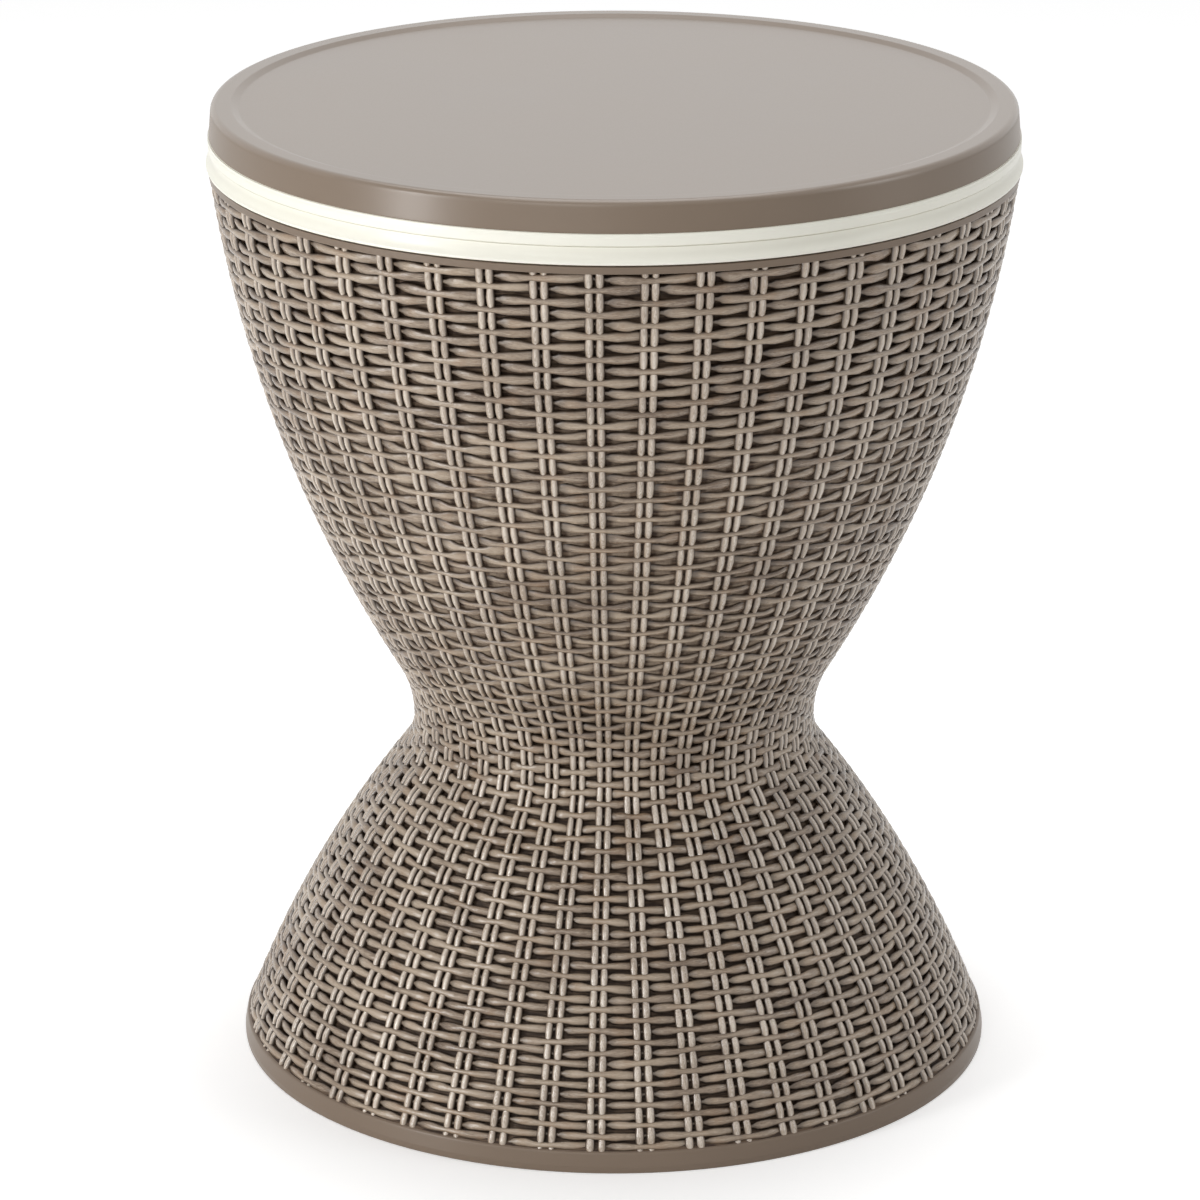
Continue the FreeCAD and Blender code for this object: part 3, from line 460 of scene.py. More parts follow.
smoothSegments = 320  # round the pieces of the top and the rim
wallSegments = 192    # round the walls behind the strands

cover = {
    "top": 590.0, "foot": 571.4, "radius": 239.8, "edgeRadius": 238.3, "edgeRounding": 3.8,
    "rimWidth": 12.0, "stepWidth": 4.5, "stepDepth": 1.8, "stepRounding": 3.0, "wall": 3.0,
}


# the taupe top: a flat panel one soft step below a flat rim, and a skirt that tapers outwards
def makeTableCover():
    inner = cover["edgeRadius"] - cover["rimWidth"]
    panel = cover["top"] - cover["stepDepth"]
    under = panel - cover["wall"]
    corners = [
        (0, under),
        (cover["edgeRadius"] - cover["wall"], under, 2.0),
        (cover["radius"] - cover["wall"], cover["foot"], 0.4),
        (cover["radius"], cover["foot"], 0.7),
        (cover["edgeRadius"], cover["top"], cover["edgeRounding"]),
        (inner, cover["top"], cover["stepRounding"]),
        (inner - cover["stepWidth"], panel, cover["stepRounding"]),
        (0, panel),
    ]
    piece = turnedPiece("tableCover", roundedOutline(corners, 6), coverResin, "lid", smoothSegments)
    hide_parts("tabletop_cover")


lidBead = {
    "radius": 240.7, "top": 571.8, "foot": 564.25, "back": 236.6,
    "shoulderHeight": 2.4, "shoulderWidth": 1.3, "footTaper": 0.3, "footRounding": 1.6,
}


# the cream band that shows under the skirt, with a shoulder at its top
def makeLidBead():
    corners = [
        (lidBead["back"], lidBead["foot"] + 0.2),
        (lidBead["radius"] - lidBead["footTaper"], lidBead["foot"], lidBead["footRounding"]),
        (lidBead["radius"], lidBead["top"] - lidBead["shoulderHeight"], 2.0),
        (lidBead["radius"] - lidBead["shoulderWidth"], lidBead["top"], 0.2),
        (lidBead["back"], lidBead["top"]),
    ]
    piece = turnedPiece("lidBead", roundedOutline(corners), creamResin, "lid", smoothSegments)


rimCove = {
    "radius": 241.8, "foot": 554.05, "neck": 239.15, "top": 564.05, "inside": 223.6, "bend": 9.0,
    "lipHeight": 1.5, "neckHeight": 1.4, "lipWidth": 3.3, "skin": 1.2,
}


# the cream skin over the bucket's rim: a hollow of radius bend between the lip and the neck
def makeRimCove():
    low = Vector((rimCove["radius"], rimCove["foot"] + rimCove["lipHeight"]))
    high = Vector((rimCove["neck"], rimCove["top"] - rimCove["neckHeight"]))
    chord = high - low
    toCentre = math.sqrt(rimCove["bend"] ** 2 - (chord.length / 2) ** 2)
    centre = (low + high) / 2 + Vector((chord.y, -chord.x)).normalized() * toCentre
    outline = roundedOutline([
        (rimCove["radius"] - rimCove["lipWidth"], rimCove["foot"] + 0.3),
        (rimCove["radius"] - rimCove["lipWidth"], rimCove["foot"]),
        (rimCove["radius"], rimCove["foot"], 0.5),
        (low.x, low.y),
    ])
    for step in range(1, 8):
        spoke = (low - centre).slerp(high - centre, step / 8)
        outline.append(centre + spoke.normalized() * rimCove["bend"])
    outline += roundedOutline([
        (high.x, high.y),
        (rimCove["neck"] - 0.05, rimCove["top"], 0.6),
        (rimCove["inside"], rimCove["top"], 0.8),
        (rimCove["inside"] - 0.5, rimCove["top"] - rimCove["skin"]),
    ])
    outline.append(Vector((rimCove["neck"] - 2.0, rimCove["top"] - rimCove["skin"])))
    piece = turnedPiece("rimCove", outline, creamResin, "pedestal", smoothSegments)


# the shell walls behind the strands: depth is how far their outside lies behind the strands' crests
wall = {
    "depth": 4.4, "thickness": 1.8,
    "filledDepth": 2.1, "filledFrom": 222.0, "filledTo": 480.0, "fadeIn": 50.0, "fadeOut": 60.0,
    "upperLevels": 56, "lowerLevels": 36,
}


# the wall's outside and inside radius at a height; the depths are square to the slope
def wallRadii(bulge, height):
    fromWaist = height - pedestal["waistHeight"]
    if abs(fromWaist) < bulge["reach"]:
        lean = -fromWaist / bulge["bend"]
    else:
        lean = (height - bulge["centreHeight"]) / bulge["radius"]
    level = math.sqrt(1 - lean ** 2)
    fadeIn = (height - wall["filledFrom"]) / wall["fadeIn"]
    fadeOut = (wall["filledTo"] - height) / wall["fadeOut"]
    depth = wall["depth"] + (wall["filledDepth"] - wall["depth"]) * max(0.0, min(1.0, fadeIn, fadeOut))
    radius = pedestalRadius(bulge, height)
    return radius - depth / level, radius - (wall["depth"] + wall["thickness"]) / level


# the wall's outside going down from the top to the foot, and its inside coming back up
def wallSides(bulge, top, foot, count):
    levels = [top - (top - foot) * step / count for step in range(count + 1)]
    outside = [(wallRadii(bulge, height)[0], height) for height in levels]
    inside = [(wallRadii(bulge, height)[1], height) for height in reversed(levels)]
    return outside, inside


upperFlange = {"top": 209.5, "seat": 206.0, "collarFoot": 199.0, "reach": 115.0, "step": 93.7, "bore": 91.0}

# the smooth band at the top and the dark step under the rim, as (radius, height, rounding)
upperBand = [
    (234.2, 550.3), (226.8, 550.3, 0.6), (226.8, 553.8, 0.8), (238.2, 553.8), (238.2, 552.9, 0.2),
    (240.5, 552.8, 0.3), (240.3, pedestal["topHeight"], 0.7), (235.2, pedestal["topHeight"]),
]


# one closed outline: the smooth band, the wall, and the flange at the waist
def makeUpperWall():
    outside, inside = wallSides(upperBulge, pedestal["topHeight"], upperFlange["top"], wall["upperLevels"])
    flange = [
        (upperFlange["reach"] + 2.0, upperFlange["seat"]),
        (upperFlange["step"], upperFlange["seat"]),
        (upperFlange["step"], upperFlange["collarFoot"]),
        (upperFlange["bore"], upperFlange["collarFoot"]),
        (upperFlange["bore"], upperFlange["top"]),
        (upperFlange["reach"], upperFlange["top"]),
    ]
    outline = roundedOutline(upperBand)[1:-1] + outside + flange + inside[1:-1]
    piece = turnedPiece("upperWall", outline, backingResin, "pedestal", wallSegments)
    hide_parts("upper_shell")


lowerFlange = {"foot": 202.5, "seat": 206.0, "bore": 94.0, "reach": 116.5}

# the smooth band that the table stands on, as (radius, height, rounding)
footBand = [
    (222.3, lowerBulge["base"]), (228.2, lowerBulge["base"], 1.4), (229.8, 4.0, 2.0), (229.7, 0.0, 1.0),
    (226.9, 0.0, 0.6), (225.2, 7.6, 0.6), (220.9, 7.6, 0.4),
]


# one closed outline: the flange at the waist, the wall, and the smooth band at the foot
def makeLowerWall():
    outside, inside = wallSides(lowerBulge, lowerFlange["foot"], lowerBulge["base"], wall["lowerLevels"])
    flange = [
        (lowerFlange["bore"], lowerFlange["foot"]),
        (lowerFlange["bore"], lowerFlange["seat"]),
        (lowerFlange["reach"], lowerFlange["seat"]),
    ]
    outline = flange + outside[:-1] + roundedOutline(footBand)[1:] + inside[1:]
    piece = turnedPiece("lowerWall", outline, backingResin, "pedestal", wallSegments)
    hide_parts("lower_shell")


makeTableCover()
makeLidBead()
makeRimCove()
makeUpperWall()
makeLowerWall()
print("turned pieces made")


# a new Geometry Nodes tree with an input for the finish and one for each size, which board.given holds
def newTree(name, sizes):
    tree = bpy.data.node_groups.new(name, "GeometryNodeTree")
    tree.is_modifier = True
    tree.interface.new_socket(name="Geometry", in_out="OUTPUT", socket_type="NodeSocketGeometry")
    tree.interface.new_socket(name="Finish", in_out="INPUT", socket_type="NodeSocketMaterial")
    for label, start in sizes.items():
        kind = "NodeSocketInt" if isinstance(start, int) else "NodeSocketFloat"
        socket = tree.interface.new_socket(name=label, in_out="INPUT", socket_type=kind)
        socket.default_value = start
    board = Board(tree)
    labels = ("Finish", *sizes)
    board.given = dict(zip(labels, board.add("NodeGroupInput", output=labels)))
    return board


# realizes, paints and hands out the tree's geometry
def closeTree(board, geometry, smooth=True):
    geometry = board.add("GeometryNodeRealizeInstances", None, {"Geometry": geometry})
    geometry = board.add("GeometryNodeSetShadeSmooth", None, {"Geometry": geometry, "Shade Smooth": smooth})
    painted = {"Geometry": geometry, "Material": board.given["Finish"]}
    geometry = board.add("GeometryNodeSetMaterial", None, painted)
    board.add("NodeGroupOutput", None, {"Geometry": geometry}, ())


# stores a value on the geometry's points, for later nodes and for the materials
def keep(board, geometry, label, value):
    return board.add(
        "GeometryNodeStoreNamedAttribute", {"data_type": "FLOAT", "domain": "POINT"},
        {"Geometry": geometry, "Name": label, "Value": value},
    )


def kept(board, label):
    return board.add("GeometryNodeInputNamedAttribute", {"data_type": "FLOAT"}, {"Name": label})


# points in a row, one step apart
def pointRow(board, count, step):
    return board.add("GeometryNodeMeshLine", {"mode": "OFFSET"}, {"Count": count, "Offset": step})


def circleCurve(board, points, radius):
    sizes = {"Resolution": points, "Radius": radius}
    return board.add("GeometryNodeCurvePrimitiveCircle", {"mode": "RADIUS"}, sizes)


# a copy of a shape on each point
def spread(board, points, shape, turn=(0, 0, 0)):
    copies = {"Points": points, "Instance": shape, "Rotation": turn}
    return board.add("GeometryNodeInstanceOnPoints", None, copies)


def moved(board, geometry, shift):
    return board.add("GeometryNodeTransform", None, {"Geometry": geometry, "Translation": shift})


# runs a tree on an empty object and turns the result into a plain mesh
def grow(name, board, sizes, finish, body):
    holder = bpy.data.objects.new(name + "Grower", bpy.data.meshes.new(name + "Grower"))
    bpy.context.scene.collection.objects.link(holder)
    modifier = holder.modifiers.new("strands", "NODES")
    modifier.node_group = board.tree
    for item in board.tree.interface.items_tree:
        if item.item_type == "SOCKET" and item.in_out == "INPUT":
            modifier[item.identifier] = finish if item.name == "Finish" else sizes[item.name]
    state = bpy.context.evaluated_depsgraph_get()
    grown = holder.evaluated_get(state)
    mesh = bpy.data.meshes.new_from_object(grown, preserve_all_data_layers=True, depsgraph=state)
    mesh.name = name
    holder.modifiers.remove(modifier)
    bpy.data.objects.remove(holder)
    piece = bpy.data.objects.new(name, mesh)
    bpy.context.scene.collection.objects.link(piece)
    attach(piece, body)
    print(name, "has", sum(len(face.vertices) - 2 for face in mesh.polygons), "triangles")
    return piece


# the sizes by which a tree follows a bulge of the pedestal
def outlineOf(bulge):
    return {
        "Base Height": bulge["base"], "Row Pitch": bulge["firstPitch"], "Pitch Growth": bulge["growth"],
        "Waist Height": pedestal["waistHeight"], "Waist Radius": pedestal["waistRadius"],
        "Waist Bend": bulge["bend"], "Waist Reach": bulge["reach"],
        "Bulge Radius": bulge["radius"], "Bulge Centre Height": bulge["centreHeight"],
        "Bulge Centre Radius": bulge["centreRadius"],
    }


# the height of a row's lower edge, also for a part of a row
def rowHeight(board, row):
    given = board.given
    return given["Base Height"] + given["Row Pitch"] * row + given["Pitch Growth"] * row * row * 0.5


# the pedestal's radius at a height, and the outward direction there as (level part, upright part)
def outlineAt(board, height):
    given = board.given
    fromWaist = height - given["Waist Height"]
    rise = height - given["Bulge Centre Height"]
    bigRadius = given["Bulge Centre Radius"] + board.maths("SQRT", given["Bulge Radius"] ** 2 - rise * rise)
    bendLeg = board.maths("SQRT", given["Waist Bend"] ** 2 - fromWaist * fromWaist)
    smallRadius = given["Waist Radius"] + given["Waist Bend"] - bendLeg
    atWaist = board.maths("ABSOLUTE", fromWaist) < given["Waist Reach"]
    radius = bigRadius + (smallRadius - bigRadius) * atWaist
    bigLean = rise / given["Bulge Radius"]
    lean = bigLean + (-fromWaist / given["Waist Bend"] - bigLean) * atWaist
    return radius, board.maths("SQRT", 1 - lean * lean), lean


# a strand's surface point: out from the pedestal's outline, along it, and round it, in millimetres
def strandPoint(board, angle, height, out, along, around):
    radius, level, lean = outlineAt(board, height)
    reach = radius + out * level - along * lean
    rise = height + out * lean + along * level
    cosine, sine = board.maths("COSINE", angle), board.maths("SINE", angle)
    x = reach * cosine - around * sine
    y = reach * sine + around * cosine
    return board.scaled(board.joined(x, y, rise), mm)


# a strand's round section; "roll" counts round it from 0 to 1
def strandSection(board):
    roll = board.add("GeometryNodeSplineParameter", output="Index") / board.given["Sides"]
    return keep(board, circleCurve(board, board.given["Sides"], 0.1), "roll", roll)


# a fixed random number from 0 to 1 for any three numbers
def randomOf(board, first, second, third):
    numbers = board.joined(first, second, third)
    return board.add("ShaderNodeTexWhiteNoise", {"noise_dimensions": "3D"}, {"Vector": numbers})


# "Over" and "Wide" are a strand's height as a share of its row's, over a stake pair and between two of them,
# and "Tip" is how much it tapers before it goes in under the next; the Filled ones are for the filled zone
weaver = {
    "Pairs": pedestal["pairs"], "Points per Pair": 12, "Sides": 8, "First Row": 0, "Rows": 16,
    "Turn": math.radians(pedestal["turn"]), "Lowest": 13.0, "Highest": 548.4,
    "Crest Depth": 2.6, "Wave": 1.45, "Strand Depth": 1.6,
    "Over": 0.63, "Wide": 0.92, "Tip": 0.6, "Skew": 0.11,
    "Uneven": 0.36, "Wander": 1.0, "Waviness": 9.0, "Tilt": 1.7, "Shift": 0.9,
    "Filled From": 215.0, "Filled To": 470.0, "Fade In": 55.0, "Fade Out": 70.0,
    "Filled Over": 0.54, "Filled Wide": 1.0, "Filled Uneven": 0.7, "Filled Tip": 0.35,
    "Seed": 3.0,
}


# level strands: each row goes out over one stake pair and in under the next, and its neighbours do the
# opposite; a strand is thin where it crosses over, and round the narrow middle its runs are wide enough to
# close the gaps
def makeWeaverTree():
    board = newTree("weaverRows", {**weaver, **outlineOf(upperBulge)})
    given = board.given
    loop = circleCurve(board, given["Pairs"] * given["Points per Pair"], 1.0)
    lap = board.add("GeometryNodeSplineParameter", output="Index") / given["Points per Pair"]
    loops = spread(board, pointRow(board, given["Rows"], (0, 0, 1)), keep(board, loop, "lap", lap))
    loops = board.add("GeometryNodeRealizeInstances", None, {"Geometry": loops})
    level = board.split(board.add("GeometryNodeInputPosition"))[2]
    loops = keep(board, loops, "row", board.maths("ROUND", level))
    sweep = {"Curve": loops, "Profile Curve": strandSection(board)}
    tubes = board.add("GeometryNodeCurveToMesh", None, sweep)

    lap, roll = kept(board, "lap"), kept(board, "roll") * (2 * math.pi)
    row = kept(board, "row") + given["First Row"]
    angle = lap * (2 * math.pi) / given["Pairs"] + given["Turn"]
    beat = lap + row + 1
    wave = board.maths("COSINE", beat * math.pi)
    under = (1 - wave) * 0.5
    swing = 1 - 2 * under ** 3
    run = board.maths("FLOOR", (beat + 1) / 2)
    fromCrest = (beat + 1) / 2 - run - 0.5
    tone = randomOf(board, run, row, given["Seed"])
    slope = (randomOf(board, run, row, given["Seed"] + 1) - 0.5) * given["Tilt"]
    shift = (randomOf(board, run, row, given["Seed"] + 2) - 0.5) * given["Shift"]
    swell = (randomOf(board, run, row, given["Seed"] + 3) - 0.5) * given["Filled Uneven"]
    ringPlace = board.joined(
        board.maths("COSINE", angle) * given["Waviness"],
        board.maths("SINE", angle) * given["Waviness"],
        row * 2.37 + given["Seed"],  # far enough on for each row to wander its own way
    )
    wander = (board.noise(ringPlace, 1.0, 1.0) - 0.5) * 2
    thick = (board.noise(board.vector("ADD", ringPlace, (11.3, 4.7, 8.1)), 1.6, 1.0) - 0.5) * 2
    pitch = given["Row Pitch"] + given["Pitch Growth"] * row
    height = rowHeight(board, row + 0.5) + wander * given["Wander"] + shift + slope * fromCrest * 2
    filled = board.smooth(height, given["Filled From"], given["Filled From"] + given["Fade In"])
    filled = filled * (1 - board.smooth(height, given["Filled To"] - given["Fade Out"], given["Filled To"]))
    openHalf = given["Over"] + (given["Wide"] - given["Over"]) * board.smooth(under, 0.0, 0.4)
    skew = fromCrest * 2 * given["Skew"]  # a run tapers longer at the end it comes out of than where it dives
    openHalf = openHalf * (1 - board.smooth(under - skew, 0.85, 0.98) * given["Tip"])
    widening = board.smooth(under, 0.05, 0.8)
    filledHalf = given["Filled Over"] + (given["Filled Wide"] - given["Filled Over"]) * widening
    filledHalf = filledHalf * (1 + swell * board.smooth(under, 0.1, 0.5))
    filledHalf = filledHalf * (1 - board.smooth(under, 0.9, 1.0) * given["Filled Tip"])
    half = (openHalf + (filledHalf - openHalf) * filled) * pitch * 0.5 * (1 + thick * given["Uneven"])
    height = board.clamped(height, given["Lowest"] + half, given["Highest"] - half)
    out = given["Wave"] * swing - given["Crest Depth"] + given["Strand Depth"] * board.maths("COSINE", roll)
    spot = strandPoint(board, angle, height, out, half * board.maths("SINE", roll), 0.0)
    tubes = board.add("GeometryNodeSetPosition", None, {"Geometry": tubes, "Position": spot})
    tubes = keep(board, tubes, "tone", tone)
    # dive and side steer the strand resin's painted shade and painted highlight; the skew shifts the shade to
    # where a run dives
    tubes = keep(board, tubes, "dive", wave + skew * 3)
    tubes = keep(board, tubes, "side", board.maths("SINE", roll))
    closeTree(board, tubes)
    return board


# widths and spacings grow from the waist to the end of a bulge; "Bury" is how many rows a stake goes on past
# its ends
stake = {
    "Strands": pedestal["pairs"], "First Strand": 0, "Points per Row": 3, "Sides": 8,
    "First Row": 0, "Rows": 32, "Pairs": pedestal["pairs"], "Turn": math.radians(pedestal["turn"]),
    "Bury": 0.25, "Base Depth": 2.0, "Sway": 0.4, "Strand Depth": 2.0, "Bulge": 0.07,
    "Waist Width": 4.2, "End Width": 5.0, "Waist Spacing": 5.1, "End Spacing": 6.0, "End Distance": 342.5,
    "Wander": 0.5, "Uneven": 0.16, "Seed": 8.0,
}


# upright strands in pairs: they lean out between the rows that cross over them
def makeStakeTree():
    board = newTree("stakePairs", {**stake, **outlineOf(upperBulge)})
    given = board.given
    ends = {"Start": (0, 0, 0), "End": (0, 0, 1)}
    line = board.add("GeometryNodeCurvePrimitiveLine", {"mode": "POINTS"}, ends)
    count = given["Rows"] * given["Points per Row"] + 1
    line = board.add("GeometryNodeResampleCurve", {"mode": "COUNT"}, {"Curve": line, "Count": count})
    line = keep(board, line, "climb", board.add("GeometryNodeSplineParameter", output="Factor"))
    lines = spread(board, pointRow(board, given["Strands"], (1, 0, 0)), line)
    lines = board.add("GeometryNodeRealizeInstances", None, {"Geometry": lines})
    number = board.split(board.add("GeometryNodeInputPosition"))[0]
    lines = keep(board, lines, "number", board.maths("ROUND", number))
    sweep = {"Curve": lines, "Profile Curve": strandSection(board), "Fill Caps": True}
    rods = board.add("GeometryNodeCurveToMesh", None, sweep)

    climb, roll = kept(board, "climb"), kept(board, "roll") * (2 * math.pi)
    number = kept(board, "number") + given["First Strand"]
    pair = board.maths("FLOOR", number / 2)
    side = (number - pair * 2) * 2 - 1
    row = climb * (given["Rows"] + given["Bury"] * 2) - given["Bury"]
    height = rowHeight(board, row)
    share = board.maths("ABSOLUTE", height - given["Waist Height"]) / given["End Distance"]
    width = given["Waist Width"] + (given["End Width"] - given["Waist Width"]) * share
    spacing = given["Waist Spacing"] + (given["End Spacing"] - given["Waist Spacing"]) * share
    lift = -board.maths("COSINE", (pair + given["First Row"] + row + 0.5) * math.pi)
    angle = pair * (2 * math.pi) / given["Pairs"] + given["Turn"]
    out = given["Sway"] * lift - given["Base Depth"] + given["Strand Depth"] * board.maths("COSINE", roll)
    place = board.joined(number * 5.3, height * 0.03, given["Seed"])
    uneven = (board.noise(place, 1.0, 2.0) - 0.5) * 2 * given["Uneven"]
    wander = (board.noise(board.vector("ADD", place, (3.7, 9.1, 0.0)), 1.0, 1.0) - 0.5) * 2 * given["Wander"]
    half = width * 0.5 * (1 + lift * given["Bulge"] + uneven)
    around = side * spacing * 0.5 + wander + half * board.maths("SINE", roll)
    spot = strandPoint(board, angle, height, out, 0.0, around)
    rods = board.add("GeometryNodeSetPosition", None, {"Geometry": rods, "Position": spot})
    rods = keep(board, rods, "tone", randomOf(board, number, 5.0, given["Seed"]) * 0.5 + 0.42)
    # dive and side steer the strand resin's painted shade and painted highlight
    rods = keep(board, rods, "dive", lift * 0.5 + 0.5)
    rods = keep(board, rods, "side", board.maths("SINE", roll))
    closeTree(board, rods)
    return board


weaverTree = makeWeaverTree()
for part, bulge, limits in (
    ("lower", lowerBulge, {"Lowest": 13.0, "Highest": 209.0, "Over": 0.68, "Wide": 0.98, "Seed": 5.0}),
    ("upper", upperBulge, {"Lowest": 203.0, "Highest": 548.4, "Seed": 3.0}),
):
    for firstRow in range(0, bulge["rows"], bulge["rowsPerPiece"]):
        sizes = {**weaver, "First Row": firstRow, "Rows": bulge["rowsPerPiece"], **limits, **outlineOf(bulge)}
        label = part + "Weavers" + str(firstRow // bulge["rowsPerPiece"] + 1)
        grow(label, weaverTree, sizes, weaverResin, "pedestal")

stakeTree = makeStakeTree()
lowerStakes = {
    **stake, "First Row": 0, "Rows": lowerBulge["rows"], "End Spacing": 6.9, "End Distance": 195.4,
    **outlineOf(lowerBulge),
}
upperStakes = {**stake, "First Row": lowerBulge["rows"], "Rows": upperBulge["rows"], **outlineOf(upperBulge)}
for half, firstStrand in (("Rear", 0), ("Front", stake["Strands"])):
    for label, sizes in (("lowerStakes", lowerStakes), ("upperStakes", upperStakes)):
        sizes = {**sizes, "First Strand": firstStrand}
        grow(label + half, stakeTree, sizes, stakeResin, "pedestal")
print("woven strands made")


# the small ribs inside the foot
footRib = {
    "Count": 12, "Turn": math.radians(pedestal["turn"]), "Wall": 2.5, "Foot Height": 1.5, "Top Height": 52.6,
    "Foot Inside": 206.4, "Foot Outside": 226.1, "Top Inside": 201.0, "Top Outside": 204.6,
}


# a flat plate per rib, drawn out of a cube whose corners go to the rib's four corners
def makeRibTree():
    board = newTree("footRibs", footRib)
    given = board.given
    plate = board.add("GeometryNodeMeshCube", None, {"Size": (1, 1, 1)})
    x, y, z = board.split(board.add("GeometryNodeInputPosition"))
    outward, upward = x + 0.5, z + 0.5
    inside = given["Foot Inside"] + (given["Top Inside"] - given["Foot Inside"]) * upward
    outside = given["Foot Outside"] + (given["Top Outside"] - given["Foot Outside"]) * upward
    reach = inside + (outside - inside) * outward
    rise = given["Foot Height"] + (given["Top Height"] - given["Foot Height"]) * upward
    spot = board.scaled(board.joined(reach, y * given["Wall"], rise), mm)
    plate = board.add("GeometryNodeSetPosition", None, {"Geometry": plate, "Position": spot})
    step = board.add("GeometryNodeInputIndex") * (2 * math.pi) / given["Count"] + given["Turn"]
    spots = pointRow(board, given["Count"], (0, 0, 0))
    ribs = spread(board, spots, plate, board.joined(0.0, 0.0, step))
    closeTree(board, ribs, False)
    return board


screw = {
    "Count": 6, "Circle": 100.0, "Seat": 200.0, "Turn": 0.0, "Length": 15.0, "Seed": 2.0,
    "Head Radius": 3.6, "Head Top": 2.9, "Head Height": 2.4, "Shank Radius": 1.9,
    "Recess": 3.8, "Recess Width": 0.9,
}


# a ring of cross-head screws whose heads hang down from the seat, each turned its own way
def makeScrewTree():
    board = newTree("screwRing", screw)
    given = board.given
    head = board.add("GeometryNodeMeshCone", None, {
        "Vertices": 24, "Radius Top": given["Head Top"],
        "Radius Bottom": given["Head Radius"], "Depth": given["Head Height"],
    })
    up = board.joined(0.0, 0.0, given["Head Height"])
    blades = []
    for size in ((given["Recess"], given["Recess Width"]), (given["Recess Width"], given["Recess"])):
        blade = board.add("GeometryNodeMeshCube", None, {"Size": board.joined(*size, given["Head Height"])})
        blades.append(moved(board, blade, up))
    recessed = {"Mesh 1": head, "Mesh 2": blades}
    head = board.add("GeometryNodeMeshBoolean", {"operation": "DIFFERENCE"}, recessed)
    bar = {"Vertices": 14, "Radius": given["Shank Radius"], "Depth": given["Length"]}
    shank = board.add("GeometryNodeMeshCylinder", None, bar)
    shank = moved(board, shank, board.joined(0.0, 0.0, given["Length"] * -0.5))
    whole = board.add("GeometryNodeJoinGeometry", None, {"Geometry": [head, shank]})
    whole = board.add("GeometryNodeTransform", None, {"Geometry": whole, "Rotation": (math.pi, 0, 0)})
    spots = board.add("GeometryNodeMeshCircle", None, {"Vertices": given["Count"], "Radius": given["Circle"]})
    index = board.add("GeometryNodeInputIndex")
    twist = randomOf(board, index, given["Circle"], given["Seed"]) * math.pi
    ring = spread(board, spots, whole, board.joined(0.0, 0.0, twist))
    ring = board.add("GeometryNodeTransform", None, {
        "Geometry": ring, "Translation": board.joined(0.0, 0.0, given["Seat"] * mm),
        "Rotation": board.joined(0.0, 0.0, given["Turn"]), "Scale": (mm, mm, mm),
    })
    closeTree(board, ring, False)
    return board


grow("footRibs", makeRibTree(), footRib, backingResin, "pedestal")

# piece: (node, body, count, circle, seat, turn in degrees, length)
screwRings = {
    "waistScrewRing": ("waist_screws", "pedestal", 6, 104.5, 202.5, 0.0, 15.0),
    "rimScrewRing": ("rim_screws", "pedestal", 8, 230.5, 550.3, 0.0, 10.4),
    "sleeveScrewRing": ("sleeve_screws", "pedestal", 3, 38.0, 243.5, 90.0, 13.5),
    "flangeScrewRing": ("flange_screws", "lid", 6, 38.0, 554.0, 0.0, 20.0),
    "lidScrewRing": ("lid_screws", "lid", 8, 200.0, 560.0, 22.5, 14.0),
}
screwTree = makeScrewTree()
for label, (node, body, count, circle, seat, turn, length) in screwRings.items():
    sizes = {**screw, "Count": count, "Circle": circle, "Seat": seat, "Length": length}
    sizes["Turn"] = math.radians(turn)
    piece = grow(label, screwTree, sizes, screwSteel, body)
    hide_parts(node)
print("foot ribs and screws made")


# a pale floor that glows for the camera, less so near the foot, which paints a darker patch round the foot on
# top of its real shadow; near, far and shift are in metres
floorLook = {
    "size": 30.0, "colour": (0.93, 0.93, 0.93, 1.0), "patches": (0.94, 0.94, 0.94, 1.0), "roughness": 0.9,
    "nearGlow": 0.21, "farGlow": 0.61, "near": 0.06, "far": 0.42, "shift": (0.03, 0.1, 0.0),
}


# 1 for what the camera sees straight or in a gloss, 0 for the light that falls on the table
def seenRay(board):
    straight, inGloss = board.add("ShaderNodeLightPath", output=("Is Camera Ray", "Is Glossy Ray"))
    return board.maths("MAXIMUM", straight, inGloss)


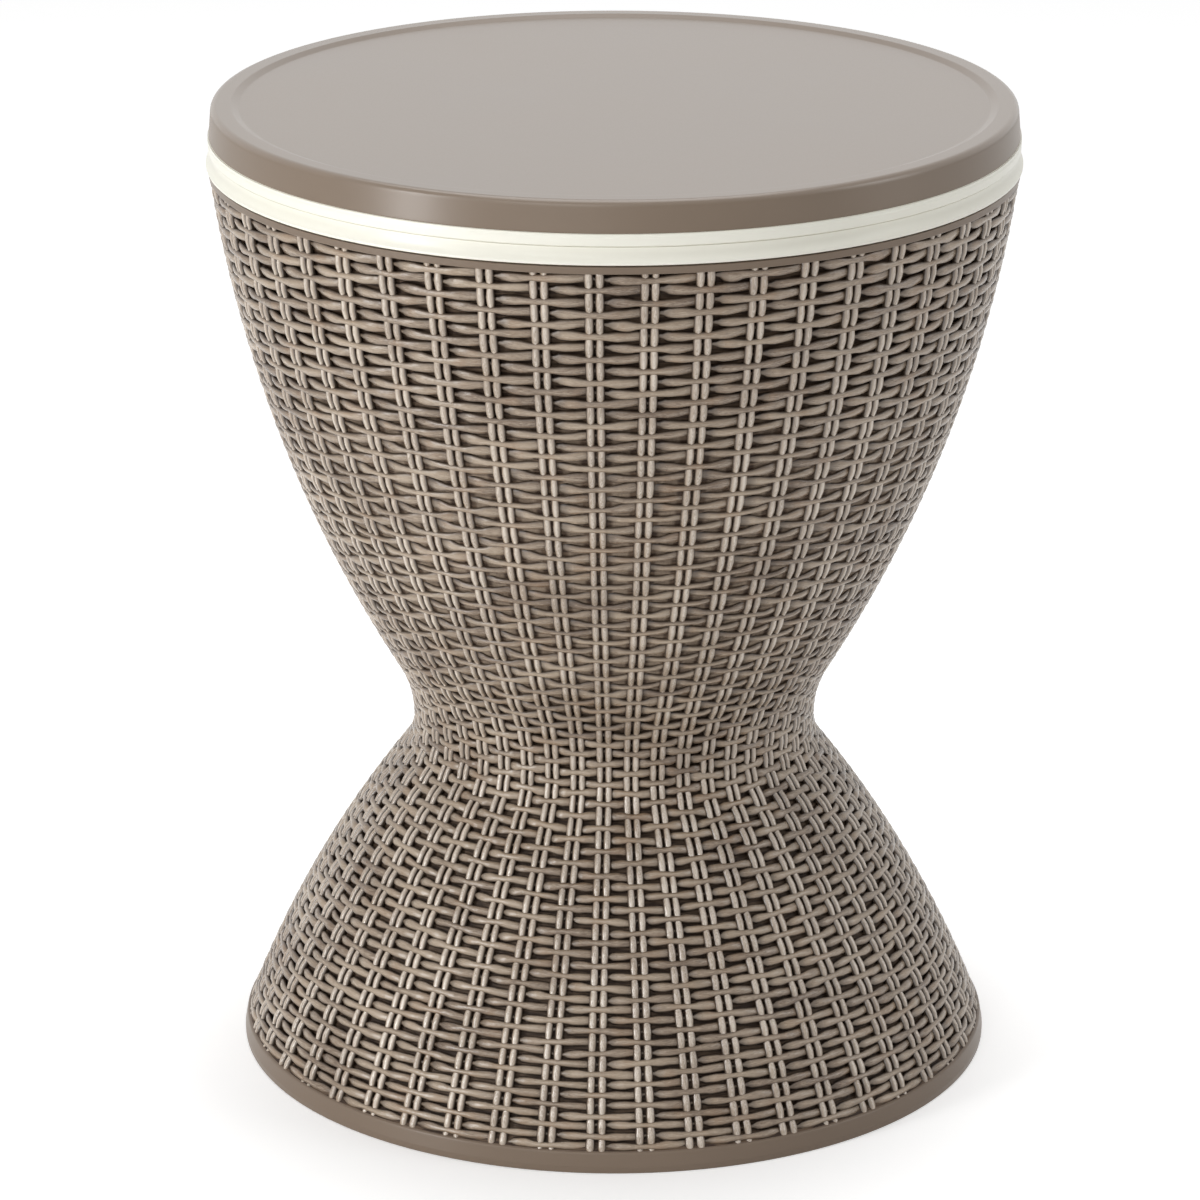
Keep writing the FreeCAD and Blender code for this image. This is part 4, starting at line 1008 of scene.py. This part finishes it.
def makeFloor():
    look = floorLook
    half = look["size"] / 2
    corners = [(-half, -half, 0), (half, -half, 0), (half, half, 0), (-half, half, 0)]
    mesh = bpy.data.meshes.new("floor")
    mesh.from_pydata(corners, [], [(0, 1, 2, 3)])
    floor = bpy.data.objects.new("floor", mesh)
    bpy.context.scene.collection.objects.link(floor)
    material, board, shader, place = newMaterial("floorPaint")
    colour = board.mixed(board.noise(place, 3.0), look["colour"], look["patches"])
    board.plug(shader.inputs["Base Color"], colour)
    shader.inputs["Roughness"].default_value = look["roughness"]
    shader.inputs["Specular IOR Level"].default_value = 0.0
    fromMiddle = board.vector("ADD", place, look["shift"])
    distance = board.vector("LENGTH", fromMiddle, output="Value")
    away = board.smooth(distance, look["near"], look["far"])
    glow = (look["nearGlow"] + (look["farGlow"] - look["nearGlow"]) * away) * seenRay(board)
    board.plug(shader.inputs["Emission Color"], board.joined(glow, glow, glow))
    shader.inputs["Emission Strength"].default_value = 1.0
    mesh.materials.append(material)


# the world's light on the table, and each softbox as (place, aim, width, height, watts)
studio = {
    "world": 0.28,
    "lamps": {
        "keySoftbox": ((-0.7, -2.5, 1.3), (0, 0, 0.35), 1.2, 1.6, 11.5),
        "leftSoftbox": ((-2.15, -1.5, 0.8), (0, 0, 0.3), 0.4, 1.6, 32.0),
        "rightSoftbox": ((2.5, -0.5, 1.3), (0, 0, 0.35), 0.8, 1.8, 11.5),
        "topSoftbox": ((-0.1, 0.3, 2.7), (0, 0, 0.5), 2.0, 2.0, 28.0),
    },
}


def makeStudio():
    world = bpy.data.worlds.new("studioWorld")
    bpy.context.scene.world = world
    world.use_nodes = True
    board = Board(world.node_tree)
    background = world.node_tree.nodes["Background"]
    board.plug(background.inputs["Strength"], studio["world"] + seenRay(board) * (1 - studio["world"]))
    background.inputs["Color"].default_value = (1, 1, 1, 1)
    for name, (place, aim, width, height, watts) in studio["lamps"].items():
        lamp = bpy.data.lights.new(name, "AREA")
        lamp.shape = "RECTANGLE"
        lamp.size, lamp.size_y, lamp.energy = width, height, watts
        holder = bpy.data.objects.new(name, lamp)
        holder.location = place
        holder.rotation_euler = (Vector(aim) - Vector(place)).to_track_quat("-Z", "Y").to_euler()
        bpy.context.scene.collection.objects.link(holder)


# millimetres for the lens and its sensor, metres for the place; it looks down by tilt degrees
cameraView = {
    "lens": 162.81, "sensor": 36.0, "place": (0.0, -3.1293, 1.3479), "tilt": 18.894, "turn": 0.1576,
}


def makeCamera():
    lens = bpy.data.cameras.new("camera")
    lens.sensor_width = cameraView["sensor"]
    lens.lens = cameraView["lens"]
    lens.clip_end = 100.0
    camera = bpy.data.objects.new("camera", lens)
    camera.location = cameraView["place"]
    camera.rotation_euler = (math.radians(90 - cameraView["tilt"]), 0.0, math.radians(cameraView["turn"]))
    bpy.context.scene.collection.objects.link(camera)
    bpy.context.scene.camera = camera


makeFloor()
makeStudio()
makeCamera()
bpy.context.scene.view_settings.view_transform = "Standard"
print("floor, light and camera set")
